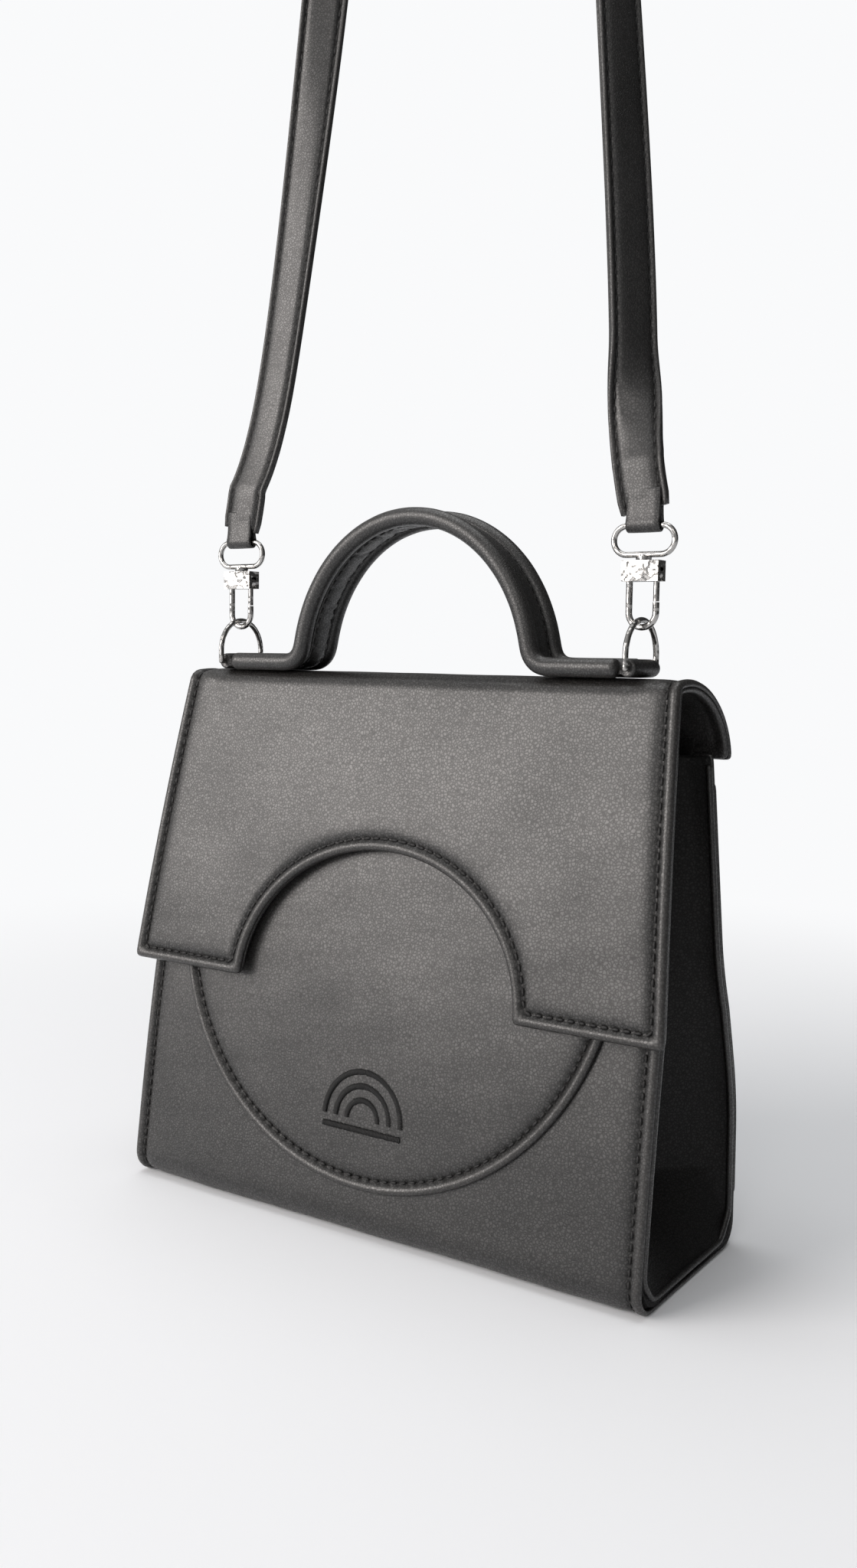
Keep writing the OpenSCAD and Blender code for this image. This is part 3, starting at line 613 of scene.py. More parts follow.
def leather(name, colour, pebble=1.15, creasing=0.4, depth=0.00022, shine=(0.34, 0.48), gloss=(0.25, 0.95)):
    material, tree, shader, spot = newMaterial(name, Specular_IOR_Level=gloss[0],
                                               Coat_Roughness=coat["roughness"], Coat_IOR=coat["index"])
    grain = grouped(tree, "grain", Position=spot, Pebble=pebble, Creasing=creasing)
    seam = addNode(tree, "ShaderNodeAttribute", attribute_name="seam").outputs["Fac"]
    edge = addNode(tree, "ShaderNodeAttribute", attribute_name="edge").outputs["Fac"]
    # painted highlight colour for rim beads and rolled edges, twice the leather colour
    paintedHighlight = tinted(colour, 2.0)
    base = blendColour(tree, ramp(tree, grain.outputs["Tone"], 0.35, 0.65), tinted(colour, 0.7),
                       tinted(colour, 1.4))
    # painted shade: the grain valleys darken towards a third of the leather colour
    base = blendColour(tree, maths(tree, "MULTIPLY", grain.outputs["Valley"], 0.85), base,
                       tinted(colour, 0.3))
    # painted highlight: rim beads and rolled edges are lightened towards twice the leather colour where the edge mask
    # is set
    base = blendColour(tree, maths(tree, "MULTIPLY", edge, 0.6), base, paintedHighlight)
    # painted shade: along the stitch grooves the base colour darkens to a tenth of the leather colour
    base = blendColour(tree, seam, base, tinted(colour, 0.1))
    tree.links.new(base, shader.inputs["Base Color"])
    rough = ramp(tree, grain.outputs["Tone"], 0.3, 0.7, *shine)
    rough = maths(tree, "ADD", rough, maths(tree, "MULTIPLY", grain.outputs["Valley"], 0.2))
    rough = maths(tree, "ADD", rough, maths(tree, "MULTIPLY", seam, 0.5), True)
    tree.links.new(rough, shader.inputs["Roughness"])
    shining = maths(tree, "SUBTRACT", 1.0, maths(tree, "MULTIPLY", grain.outputs["Valley"], 0.50))
    shining = maths(tree, "MULTIPLY", shining, ramp(tree, grain.outputs["Tone"], 0.32, 0.68, 0.82, 1.0))
    shining = maths(tree, "MULTIPLY", shining, maths(tree, "SUBTRACT", 1.0, seam))
    tree.links.new(maths(tree, "MULTIPLY", shining, gloss[1], True), shader.inputs["Coat Weight"])
    bumped(tree, shader, grain.outputs["Height"], relief["leather"], depth)
    return material


def cloth(name, colour, thread=0.5):
    material, tree, shader, spot = newMaterial(name)
    weave = grouped(tree, "weave", Position=spot, Thread=thread)
    base = blendColour(tree, weave.outputs["Tone"], tinted(colour, 0.6), colour)
    tree.links.new(base, shader.inputs["Base Color"])
    tree.links.new(ramp(tree, weave.outputs["Tone"], 0, 1, 0.9, 0.72), shader.inputs["Roughness"])
    bumped(tree, shader, weave.outputs["Height"], *relief["cloth"])
    return material


def metal(name, colour, amount):
    material, tree, shader, spot = newMaterial(name, Metallic=1.0)
    scuffs = grouped(tree, "scuffs", Position=spot, Amount=amount)
    base = blendColour(tree, ramp(tree, scuffs.outputs["Tone"], 0.3, 0.7), tinted(colour, 0.9), colour)
    tree.links.new(base, shader.inputs["Base Color"])
    tree.links.new(scuffs.outputs["Roughness"], shader.inputs["Roughness"])
    bumped(tree, shader, scuffs.outputs["Height"], *relief["metal"])
    return material


def threadMaterial(name, colour):
    material, tree, shader, spot = newMaterial(name)
    spun = addNode(tree, "ShaderNodeMapping", {"Vector": spot, "Scale": (2600, 2600, 2600),
                                               "Rotation": (0.5, 0.3, 0.6)}).outputs[0]
    twist = addNode(tree, "ShaderNodeTexWave", {"Vector": spun, "Scale": 0.5,
                                                "Distortion": 1.5}).outputs["Fac"]
    base = blendColour(tree, twist, tinted(colour, 0.4), colour)
    tree.links.new(base, shader.inputs["Base Color"])
    tree.links.new(ramp(tree, twist, 0, 1, 0.7, 0.5), shader.inputs["Roughness"])
    bumped(tree, shader, twist, *relief["thread"])
    return material


def boardMaterial(name, colour):
    material, tree, shader, spot = newMaterial(name)
    pulp = noise(tree, spot, 420.0, 5.0)
    tree.links.new(blendColour(tree, pulp, tinted(colour, 0.7), colour), shader.inputs["Base Color"])
    tree.links.new(ramp(tree, pulp, 0, 1, 0.8, 0.95), shader.inputs["Roughness"])
    bumped(tree, shader, pulp, *relief["board"])
    return material


finish = {
    "shell": leather("blackLeather", (0.0120, 0.0110, 0.0102), 1.15, 0.55),
    # painted shade: a darker, duller copy of the shell leather for the gussets, inner pocket and hinge strip, which
    # sit in shade
    "gusset": leather("gussetLeather", (0.0045, 0.0042, 0.0040), 1.15, 0.45, 0.00020, (0.5, 0.62),
                      (0.2, 0.15)),
    "handle": leather("handleLeather", (0.0110, 0.0102, 0.0097), 1.0, 0.25, 0.00018, (0.34, 0.46)),
    "strap": leather("strapLeather", (0.0110, 0.0102, 0.0097), 1.0, 0.15, 0.00018, (0.34, 0.46)),
    "thread": threadMaterial("blackThread", (0.006, 0.0056, 0.0056)),
    "lining": cloth("liningCloth", (0.035, 0.034, 0.036), 0.45),
    "nickel": metal("nickelPlate", (0.42, 0.412, 0.40), 0.14),
    "steel": metal("springSteel", (0.50, 0.49, 0.48), 0.3),
    "magnet": metal("magnetPlate", (0.50, 0.50, 0.51), 0.4),
    "board": boardMaterial("greyBoard", (0.42, 0.38, 0.32)),
}
print("materials made")


def finished(obj, key, slot, bodies, replaces=()):
    obj.data.materials.clear()
    obj.data.materials.append(finish[key])
    if isinstance(bodies, str):
        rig.ride(obj, bodies)
    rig.slot(obj, slot)
    if replaces:
        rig.replaces(obj, *replaces)
    return obj


def stitchTree():
    tree = bpy.data.node_groups.new("rowOfStitches", "GeometryNodeTree")
    face = tree.interface
    face.new_socket("Geometry", in_out="INPUT", socket_type="NodeSocketGeometry")
    for key, kind, value in (("Pitch", "NodeSocketFloat", 0.004), ("Length", "NodeSocketFloat", 0.0026),
                             ("Width", "NodeSocketFloat", 0.0007), ("Depth", "NodeSocketFloat", 0.0005),
                             ("Normal", "NodeSocketVector", (0, -1, 0)), ("Seed", "NodeSocketInt", 3),
                             ("Material", "NodeSocketMaterial", None)):
        socket = face.new_socket(key, in_out="INPUT", socket_type=kind)
        if value is not None:
            socket.default_value = value
    face.new_socket("Geometry", in_out="OUTPUT", socket_type="NodeSocketGeometry")
    start, end = tree.nodes.new("NodeGroupInput"), tree.nodes.new("NodeGroupOutput")
    curve = addNode(tree, "GeometryNodeMeshToCurve", {"Mesh": start.outputs["Geometry"]})
    rows = addNode(tree, "GeometryNodeResampleCurve", {"Curve": curve.outputs[0]})
    rows.mode = "LENGTH"
    tree.links.new(start.outputs["Pitch"], rows.inputs["Length"])
    bead = addNode(tree, "GeometryNodeMeshUVSphere", {"Segments": 8, "Rings": 5, "Radius": 0.5})
    size = addNode(tree, "ShaderNodeCombineXYZ", {0: start.outputs["Length"], 1: start.outputs["Width"],
                                                  2: start.outputs["Depth"]})
    flat = addNode(tree, "FunctionNodeAlignRotationToVector", {"Vector": start.outputs["Normal"]}, axis="Z")
    tangent = tree.nodes.new("GeometryNodeInputTangent")
    along = addNode(tree, "FunctionNodeAlignRotationToVector", {"Rotation": flat.outputs[0],
                                                                "Vector": tangent.outputs[0]}, axis="X")
    jitter = addNode(tree, "FunctionNodeRandomValue", data_type="FLOAT_VECTOR")
    jitter.inputs[0].default_value, jitter.inputs[1].default_value = (0.9, 0.88, 0.88), (1.06, 1.1, 1.1)
    tree.links.new(start.outputs["Seed"], jitter.inputs["Seed"])
    grow = addNode(tree, "ShaderNodeVectorMath", {0: size.outputs[0], 1: jitter.outputs[0]},
                   operation="MULTIPLY")
    sown = addNode(tree, "GeometryNodeInstanceOnPoints", {
        "Points": rows.outputs[0], "Instance": bead.outputs[0], "Rotation": along.outputs[0],
        "Scale": grow.outputs[0]})
    real = addNode(tree, "GeometryNodeRealizeInstances", {"Geometry": sown.outputs[0]})
    dyed = addNode(tree, "GeometryNodeSetMaterial", {"Geometry": real.outputs[0],
                                                     "Material": start.outputs["Material"]})
    tree.links.new(dyed.outputs[0], end.inputs[0])
    return tree


stitches = stitchTree()


def sewn(name, lines, bodies, normal=(0, -1, 0), **sizes):
    points, edges = [], []
    for spots, closed in lines:
        first = len(points)
        points += (np.asarray(spots, float) * mm).tolist()
        edges += [(first + i, first + i + 1) for i in range(len(spots) - 1)]
        if closed:
            edges.append((len(points) - 1, first))
    mesh = bpy.data.meshes.new(name)
    mesh.from_pydata(points, edges, [])
    obj = bpy.data.objects.new(name, mesh)
    scene.collection.objects.link(obj)
    work = obj.modifiers.new("stitches", "NODES")
    work.node_group = stitches
    for item in stitches.interface.items_tree:
        if item.in_out != "INPUT" or item.name == "Geometry":
            continue
        if item.name == "Material":
            work[item.identifier] = finish["thread"]
        elif item.name == "Normal":
            work[item.identifier] = [float(v) for v in normal]
        elif item.name in sizes:
            work[item.identifier] = sizes[item.name]
    baked(obj)
    obj.data.materials.clear()
    obj.data.materials.append(finish["thread"])
    if isinstance(bodies, str):
        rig.ride(obj, bodies)
    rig.slot(obj, "motif_thread")
    return obj


strap = {"width": 18.0, "half": 1.45, "groove": 0.735, "pitch": 4.6, "y": -1.5, "archRadius": 36.5,
         "archHeight": 705.0, "bendLow": 273.5, "leanSoon": 6.0, "leanSlow": 18.0, "earlyTurn": 58.0,
         "earlyTurnHeight": 318.0, "lateTurnHeight": 320.0, "soonRate": 25.0, "slowRate": 170.0, "step": 2.0}


def strapRoute():
    leg = [(88, 257.9), (86, 267.26), (84.9, 273.5), (84, 277), (83, 281), (82, 286), (81.1, 291),
           (80.2, 297), (79.2, 304), (78.1, 313), (77, 323), (75.7, 335), (72.4, 365), (69, 395),
           (65.6, 425), (62.8, 450), (59, 485), (55, 520), (51.3, 550), (47.6, 580), (44.2, 610),
           (41, 640), (38.5, 665), (37, 690)]
    turn = np.radians(np.linspace(0, 90, 9))
    arch = [(strap["archRadius"] * math.cos(a), strap["archHeight"] + strap["archRadius"] * math.sin(a))
            for a in turn]
    right = np.array(leg + arch)
    left = right * (-1, 1)
    return np.vstack([left, right[-2::-1]])


def strapLean(z):
    u = np.maximum(0, z - strap["bendLow"])
    soon = strap["leanSoon"] * (1 - np.exp(-u / strap["soonRate"]))
    return soon + strap["leanSlow"] * (1 - np.exp(-u / strap["slowRate"]))


def turnShare(z, low, high):
    return np.sin(np.radians(90) * np.clip((z - low) / (high - low), 0, 1)) ** 2


def strapTurn(x, z):
    early, middle, top = strap["earlyTurn"], strap["earlyTurnHeight"], strap["archHeight"]
    left = 90 * turnShare(z, strap["lateTurnHeight"], top)
    right = early * turnShare(z, strap["bendLow"], middle) + (90 - early) * turnShare(z, middle, top)
    return np.radians(np.where(x < 0, left, right))


def makeStrap():
    route = evenly(catmull(strapRoute(), 6), strap["step"])
    spots = np.stack([route[:, 0], strap["y"] + strapLean(route[:, 1]), route[:, 1]], 1)
    step = np.gradient(spots, axis=0)
    step /= np.linalg.norm(step, axis=1)[:, None]
    turn = strapTurn(spots[:, 0], spots[:, 2])
    phase = np.arange(len(spots)) * strap["step"] * 2 * math.pi / strap["pitch"]
    rings, seams, edges = [], [], []
    w, h = strap["width"] / 2, strap["half"]
    groove = strap["groove"]
    face = [(0.0, 1.12), (0.24, 1.10), (0.48, 1.04), (0.62, 0.86), (0.70, 0.55), (groove, 0.42), (0.77, 0.55),
            (0.84, 0.86), (0.90, 0.98), (0.955, 0.92), (0.99, 0.66), (1.0, 0.35), (0.985, 0.08)]
    outline = ([(a, b) for a, b in reversed(face)] + [(-a, b) for a, b in face[1:]]
               + [(-a, -b) for a, b in reversed(face)] + [(a, -b) for a, b in face[1:]])
    for i, spot in enumerate(spots):
        wide = np.array([math.cos(turn[i]), math.sin(turn[i]), 0.0])
        wide = wide - step[i] * wide.dot(step[i])
        wide /= np.linalg.norm(wide)
        thick = np.cross(step[i], wide)
        ease = min(1, i / 2, (len(spots) - 1 - i) / 2) * 0.25 + 0.75
        held = 0.5 + 0.5 * math.cos(phase[i])
        ring = []
        for a, b in outline:
            tuck = 0.12 * held * bell(abs(a), groove, 0.07)
            off = (b - math.copysign(tuck, b)) * h
            ring.append(spot + wide * a * w * mix(1, ease, 0.2) + thick * off * ease)
        rings.append(ring)
        # seam mask paints shade along the stitch grooves; edge mask paints a highlight along the rounded strap edges
        seams.append([float(bell(abs(a), groove, 0.05)) * (0.45 + 0.55 * held) for a, b in outline])
        edges.append([float(bell(abs(a), 0.93, 0.07)) for a, b in outline])
    obj = sweep("shoulderStrap", rings, {"seam": seams, "edge": edges})
    finished(obj, "strap", "leather", "strap", ("strap_face", "strap_back"))
    path = [tuple(float(v) * mm for v in spot) for spot in np.vstack([spots[:-1:4], spots[-1]])]
    long = sum(math.dist(a, b) for a, b in zip(path, path[1:]))
    grid = np.array(rings)
    rows = [k for k, (a, b) in enumerate(outline) if abs(abs(a) - groove) < 0.01]
    sewn("strapStitches", [(grid[2:-2, k], False) for k in rows], "strap", Pitch=strap["pitch"] * mm,
         Length=0.0032, Width=0.0010, Depth=0.0009)
    print("strap length", round(long, 4))
    return obj, path, long


strapPiece, strapPath, strapLength = makeStrap()


tab = {"x": 88.0, "eyeHeight": 252.9, "loopRadius": 1.85, "halfWidth": 6.0, "tail": 12.0, "step": 0.7}
tabOutline = [(-1, -0.3), (-0.96, -0.5), (-0.6, -0.55), (0, -0.58), (0.6, -0.55), (0.96, -0.5), (1, -0.3),
              (1, 0.3), (0.96, 0.5), (0.6, 0.55), (0, 0.58), (-0.6, 0.55), (-0.96, 0.5), (-1, 0.3)]


def makeTab(side, label):
    x, y, top, r = tab["x"] * side, strap["y"], tab["eyeHeight"], tab["loopRadius"]
    rows = []
    path = [(-1.0, top + tab["tail"]), (-1.05, top + 6.5), (-1.35, top + 3.0), (-r, top + 0.9)]
    path += [(r * math.cos(math.radians(a)), top + r * math.sin(math.radians(a)))
             for a in range(180, 361, 15)]
    path += [(-p, q) for p, q in reversed(path[:4])]
    path = evenly(catmull(path, 3), tab["step"])
    step = np.gradient(path, axis=0)
    step /= np.linalg.norm(step, axis=1)[:, None]
    normals = np.stack([-step[:, 1], step[:, 0]], 1)
    for (p, q), (ny, nz) in zip(path, normals):
        rows.append([(x + a * tab["halfWidth"], y + p + ny * b, q + nz * b) for a, b in tabOutline])
    obj = sweep("strapTab" + label, rows)
    finished(obj, "strap", "leather", "strap", ("strap_tab_" + label.lower(),))
    return obj


tabs = [makeTab(-1, "Left"), makeTab(1, "Right")]
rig.cord(strapPiece, exit=strapPath[0], length=round(strapLength, 4), diameter=strap["width"] * mm,
        far_end="object", stiffness="medium", lay="taut", path=strapPath, with_pieces=tabs)
print("strap made")

shellEdge = [(13, 0.2), (9.5, 0.18), (7.5, 0.05), (6.2, -0.15), (5.3, -0.45), (4.7, -0.66), (4.2, -0.66),
             (3.7, -0.35), (3.0, 0.1), (2.2, 0.38), (1.4, 0.36), (0.7, 0.1), (0.25, -0.35), (0.05, -0.85),
             (0.2, -1.35), (0.8, -1.6), (2.4, -1.6), (5.0, -1.42), (8.0, -1.4)]


def bodyLoop(path, low, high, inset=0.0, across=200, along=None):
    along = along or int((high - low) / 1.3)

    def loopAt(d):
        s = np.linspace(low + d, high - d, along + 1)
        edge = halfWidth(path.at(s)[1]) - inset - d
        right = np.stack([edge, s], 1)
        top = line(right[-1], (-edge[-1], s[-1]), across)
        left = np.stack([-edge[::-1], s[::-1]], 1)
        foot = line(left[-1], right[0], across)
        return rounded(joined(right, top, left, foot), 3)

    return loopAt


seamInset = 4.45
seamStitch = {"Pitch": 0.004, "Length": 0.0028, "Width": 0.0011, "Depth": 0.0010}


def makeBody():
    loopAt = bodyLoop(wrapPath, 0.0, wrapPath.length)
    panel("bodyLeather", loopAt, shellEdge, wrapPath.place, floor=0.0,
          wave=lambda u, v: 0.32 * softWave(u, v, 4, 90) + 0.10 * softWave(u, v, 9, 34))
    obj = bpy.data.objects["bodyLeather"]
    finished(obj, "shell", "leather", "bag", ("body_wrap",))
    spots = wrapPath.place(*loopAt(seamInset).T, -0.62)
    spots[:, 2] = np.maximum(spots[:, 2], 0.35)
    return (spots, True)


bagLines = [makeBody()]
print("body made")

pocket = {"radius": 94.9, "middle": 113.0, "top": 160.0}
pocketEdge = [(13, 1.8), (9.5, 1.78), (7.5, 1.68), (6.2, 1.5), (5.3, 1.2), (4.7, 0.95), (4.2, 0.95),
              (3.7, 1.3), (3.1, 1.85), (2.4, 2.3), (1.6, 2.5), (0.9, 2.3), (0.35, 1.85), (0.05, 1.2),
              (0.15, 0.55), (0.8, 0.3), (3.0, 0.26), (6.0, 0.26)]


def makePocket():
    heights = np.linspace(12, 180, 200)
    high = np.array([wrapPath.whereHigh(z) for z in heights])

    def alongFront(z):
        return np.interp(z, heights, high)

    def loopAt(d):
        r, top = pocket["radius"] - d, pocket["top"] - d
        a = math.asin((top - pocket["middle"]) / r)
        turn = np.linspace(math.pi - a, 2 * math.pi + a, 420)
        arc = np.stack([r * np.cos(turn), pocket["middle"] + r * np.sin(turn)], 1)
        loop = rounded(joined(arc, line(arc[-1], arc[0], 130)), 3)
        return np.stack([loop[:, 0], alongFront(loop[:, 1])], 1)

    obj = panel("roundPocket", loopAt, pocketEdge, wrapPath.place,
                wave=lambda u, v: 0.30 * softWave(u, v, 21, 80) + 0.08 * softWave(u, v, 5, 30))
    finished(obj, "shell", "leather", "bag", ("round_patch",))
    return (wrapPath.place(*loopAt(seamInset).T, 1.0), True)


bagLines.append(makePocket())


def makeBackPocket():
    low, high = wrapPath.whereHigh(17.0, True), wrapPath.whereHigh(167.0, True)
    edge = [(d, off + 1.72) for d, off in shellEdge[:-3]] + [(3.0, 0.3), (7.0, 0.3)]
    loopAt = bodyLoop(wrapPath, low, high, 0.3, 190)
    obj = panel("backPocket", loopAt, edge, wrapPath.place,
                wave=lambda u, v: 0.35 * softWave(u, v, 33, 85))
    finished(obj, "shell", "leather", "bag", ("back_pocket",))
    return (wrapPath.place(*loopAt(seamInset).T, 1.1), True)


bagLines.append(makeBackPocket())
print("pockets made")


def makeLining():
    edge = [(4, -2.72), (1.0, -2.72), (0.2, -2.8), (0.0, -3.0), (0.2, -3.2), (1.2, -3.3), (4, -3.25),
            (8, -3.2)]
    loopAt = bodyLoop(wrapPath, 0.6, wrapPath.length - 0.6, 10.0, 120, 180)
    obj = panel("bagLining", loopAt, edge, wrapPath.place, stitch=None, fill=7, fillBack=7)
    finished(obj, "lining", "lining", "bag", ("lining_wrap",))
    low, high = wrapPath.whereHigh(60.0, True), wrapPath.whereHigh(161.0, True)
    obj = panel("innerPocket", bodyLoop(wrapPath, low, high, 41.0, 80, 110),
                [(6, -7.0), (1.4, -6.9), (0.5, -7.0), (0.1, -7.4), (0.0, -7.9), (0.2, -8.4), (1.2, -8.6),
                 (3.0, -8.3), (5, -8.4)], wrapPath.place, stitch=None, fill=7, fillBack=7)
    finished(obj, "gusset", "leather_inner", "bag", ("divider",))


makeLining()
print("lining made")

gusset = {"depth": 29.0, "footHeight": 28.0, "thickness": 1.3, "rows": 90, "columns": 44}


def makeGusset(side, label):
    deep = [0, 0.035, 0.12, 0.30, 0.62, 0.90, 0.985, 1.0, 0.985, 0.90, 0.62, 0.30, 0.12, 0.035, 0]
    over = [0, 0.0, 0.012, 0.06, 0.22, 0.40, 0.47, 0.5, 0.53, 0.60, 0.78, 0.94, 0.988, 1.0, 1.0]
    shape = evenly(catmull(np.stack([deep, over], 1), 6), 0.01)
    new, old = np.linspace(0, 1, gusset["columns"]), np.linspace(0, 1, len(shape))
    shape = np.stack([np.interp(new, old, shape[:, k]) for k in (0, 1)], 1)
    points = []
    heights = np.concatenate([np.linspace(2.0, 28, 22)[:-1], np.linspace(28, 176, gusset["rows"] - 21)])
    for z in heights:
        r = body["baseRound"]
        room = 2.0 + (r - math.sqrt(max(0.0, (r - 2.0) ** 2 - (r - min(z, r)) ** 2)) - 2.0 if z < r else 0.0)
        yf, yb = float(frontY(max(z, r))) + room, float(backY(max(z, r))) - room
        x = float(halfWidth(z)) - 0.8
        depth = gusset["depth"] * min(1, (z - 2.0) / (gusset["footHeight"] - 2.0))
        for a, b in shape:
            ripple = 0.5 * math.sin(z * 0.11 + b * 3) * a * (1 - a) * 4 * min(1, depth / 20)
            points.append((side * (x - depth * a), mix(yf, yb, b) + ripple, z))
    n, m = len(heights), gusset["columns"]
    faces = [(i * m + k, i * m + k + 1, (i + 1) * m + k + 1, (i + 1) * m + k)
             for i in range(n - 1) for k in range(m - 1)]
    if side > 0:
        faces = [f[::-1] for f in faces]
    obj = meshObject("sideGusset" + label, points, faces, recalc=False)
    solid = obj.modifiers.new("thickness", "SOLIDIFY")
    solid.thickness, solid.offset = gusset["thickness"] * mm, -1.0
    baked(obj)
    finished(obj, "gusset", "leather_inner", "bag", ("gusset_" + label.lower(),))
    makeGussetLip(side, label)


gussetLip = {"radius": 1.15, "inset": 3.4, "proud": 0.9, "foot": 3.6, "top": 173.0}


def makeGussetLip(side, label):                    # rolled edge that runs down, under the pleat and up again
    down = np.linspace(gussetLip["top"], 12, 60)
    foot = gussetLip["foot"]
    front = [(float(frontY(z)) + gussetLip["inset"], z) for z in down]
    back = [(float(backY(z)) - gussetLip["inset"], z) for z in down[::-1]]
    low = [(y, foot) for y in np.linspace(frontY(foot) + 11, backY(foot) - 11, 14)]
    spots = evenly(np.array(front + low + back), 1.2, 2.0)
    step = np.gradient(spots, axis=0)
    step /= np.linalg.norm(step, axis=1)[:, None]
    rings = []
    for (y, z), (ty, tz) in zip(spots, step):
        x = float(halfWidth(z)) - gussetLip["proud"]
        ring = []
        for a in np.linspace(0, 2 * math.pi, 11)[:-1]:
            across, out = gussetLip["radius"] * math.cos(a), gussetLip["radius"] * math.sin(a)
            ring.append((side * (x + out), y - tz * across, z + ty * across))
        rings.append(ring)
    obj = sweep("gussetLip" + label, rings)
    finished(obj, "handle", "leather_inner", "bag")


makeGusset(-1, "Left")
makeGusset(1, "Right")
print("gussets made")

flap = {"low": 87.2, "foldHeight": 199.8, "stand": 5.5, "topWidth": 213.0, "lowWidth": 230.0,
        "archHalf": 60.0, "archHeight": 52.5}


def flapPoints():
    up = np.linspace(flap["low"], flap["foldHeight"], 90)
    front = np.stack([frontY(up) - flap["stand"], up], 1)
    turn = np.radians(np.linspace(90, 0, 40))
    crown = np.stack([mix(-1.5, 29.25, np.cos(turn)), mix(176, 200.4, np.sin(turn))], 1)
    tail = [(29.3, 174.6)]
    return evenly(np.vstack([front, crown, tail]), 0.6, 1.5)


flapPath = SidePath(flapPoints(), 1)


def flapHalf(z):
    share = (np.asarray(z, float) - flap["low"]) / (flap["foldHeight"] - flap["low"])
    return mix(flap["lowWidth"], flap["topWidth"], share) / 2


def flapLoop(inset=0.0, fine=1.0):
    sides, back, lobe, arch = (int(v * fine) for v in (150, 180, 46, 150))

    def loopAt(given):
        d = given + inset
        s = np.linspace(d, flapPath.length - d, sides + 1)
        edge = flapHalf(flapPath.at(s)[1]) - d
        right = np.stack([edge, s], 1)
        top = line(right[-1], (-edge[-1], s[-1]), back)
        left = np.stack([-edge[::-1], s[::-1]], 1)
        a, b = flap["archHalf"] + d, flap["archHeight"] + d
        low = math.asin(min(1, d / b))
        turn = np.linspace(math.pi - low, low, arch + 1)
        curve = np.stack([a * np.cos(turn), b * np.sin(turn)], 1)
        return rounded(joined(right, top, left, line(left[-1], curve[0], lobe), curve,
                              line(curve[-1], right[0], lobe)), 3)

    return loopAt


flapFace = [(14, 2.3), (10.5, 2.28), (8.4, 2.18), (7.0, 2.02), (6.0, 1.78), (5.2, 1.42), (4.7, 1.2),
            (4.2, 1.22), (3.7, 1.6), (3.0, 2.08), (2.2, 2.36), (1.4, 2.32), (0.7, 1.98), (0.25, 1.4),
            (0.0, 0.75), (0.1, 0.15), (0.5, -0.12), (2.3, -0.16), (2.5, 0.42), (6.0, 0.44)]
flapBack = [(6.0, -0.72), (2.5, -0.72), (2.3, -0.26), (0.9, -0.26), (0.5, -0.45), (0.35, -0.95), (0.5, -1.55),
            (1.0, -1.95), (1.8, -2.1), (2.8, -2.0), (3.8, -1.75), (4.5, -1.6), (5.3, -1.75), (7.0, -1.95),
            (12, -2.0)]
foldBlend = {"start": (0, -6.0 * mm, 202.0 * mm), "end": (0, -11.6 * mm, 196.2 * mm)}


def makeFlap():
    loopAt = flapLoop()

    def wave(u, v):
        lobes = bell(np.abs(u), 88, 26) * bell(v, 8, 26)
        return 0.34 * softWave(u, v, 12, 95) + 0.09 * softWave(u, v, 14, 32) - 0.5 * lobes

    face = panel("flapLeather", loopAt, flapFace, flapPath.place, wave=wave)
    back = panel("flapLining", flapLoop(0.0, 0.7), flapBack, flapPath.place, fill=6, fillBack=6)
    for obj, slot, nodes in ((face, "leather", ("crown", "flap")),
                             (back, "leather_inner", ("crown_lining", "flap_lining"))):
        finished(obj, "shell", slot, None, nodes)
        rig.blend(obj, "top", "front_flap", **foldBlend)
    row = sewn("flapStitches", [(flapPath.place(*loopAt(seamInset).T, 1.28), True)], None, **seamStitch)
    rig.blend(row, "top", "front_flap", **foldBlend)


makeFlap()


def makeHingeStrip():
    bend = [(24.3, 170), (24.6, 174), (25.2, 177.4), (26.3, 179.2), (26.2, 183), (24.6, 188)]
    path = SidePath(evenly(catmull(bend, 6), 0.8), 1)

    def loopAt(d):
        s = np.linspace(d, path.length - d, 30)
        right = np.stack([np.full(30, 96.0 - d), s], 1)
        left = right[::-1] * (-1, 1)
        return joined(right, line(right[-1], left[0], 60), left, line(left[-1], right[0], 60))

    obj = panel("hingeStrip", loopAt, [(2, 0.22), (0.5, 0.2), (0.1, 0.1), (0.0, 0), (0.1, -0.1), (0.5, -0.2),
                                       (2, -0.22)], path.place, stitch=None, fill=4, fillBack=4)
    finished(obj, "gusset", "leather_inner", None)
    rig.blend(obj, "bag", "top", start=(0, 25.0 * mm, 175.0 * mm), end=(0, 26.3 * mm, 184.0 * mm))


makeHingeStrip()
print("flap made")

handle = {"footHeight": 205.85, "footEnd": 84.45, "halfSpan": 50.5, "rise": 56.0, "bend": 7.0, "tuck": 1.0,
          "pitch": 16.6, "roll": 3.3, "y": -1.5, "stitchPitch": 4.0}


def handleRoute():
    low = math.asin(0.16)
    base = handle["footHeight"] + handle["bend"] - handle["tuck"] - handle["rise"] * math.sin(low)
    bendX = handle["halfSpan"] * math.cos(low) + handle["bend"]
    points = [(handle["footEnd"], handle["footHeight"])]
    for a in np.linspace(270, 190, 6):
        points.append((bendX + handle["bend"] * math.cos(math.radians(a)),
                       handle["footHeight"] + handle["bend"] + handle["bend"] * math.sin(math.radians(a))))
    for a in np.linspace(math.degrees(low) + 4, 90, 15):
        points.append((handle["halfSpan"] * math.cos(math.radians(a)),
                       base + handle["rise"] * math.sin(math.radians(a))))
    right = np.array(points)
    return evenly(np.vstack([right * (-1, 1), right[-2::-1]]), 1.0, 1.6)


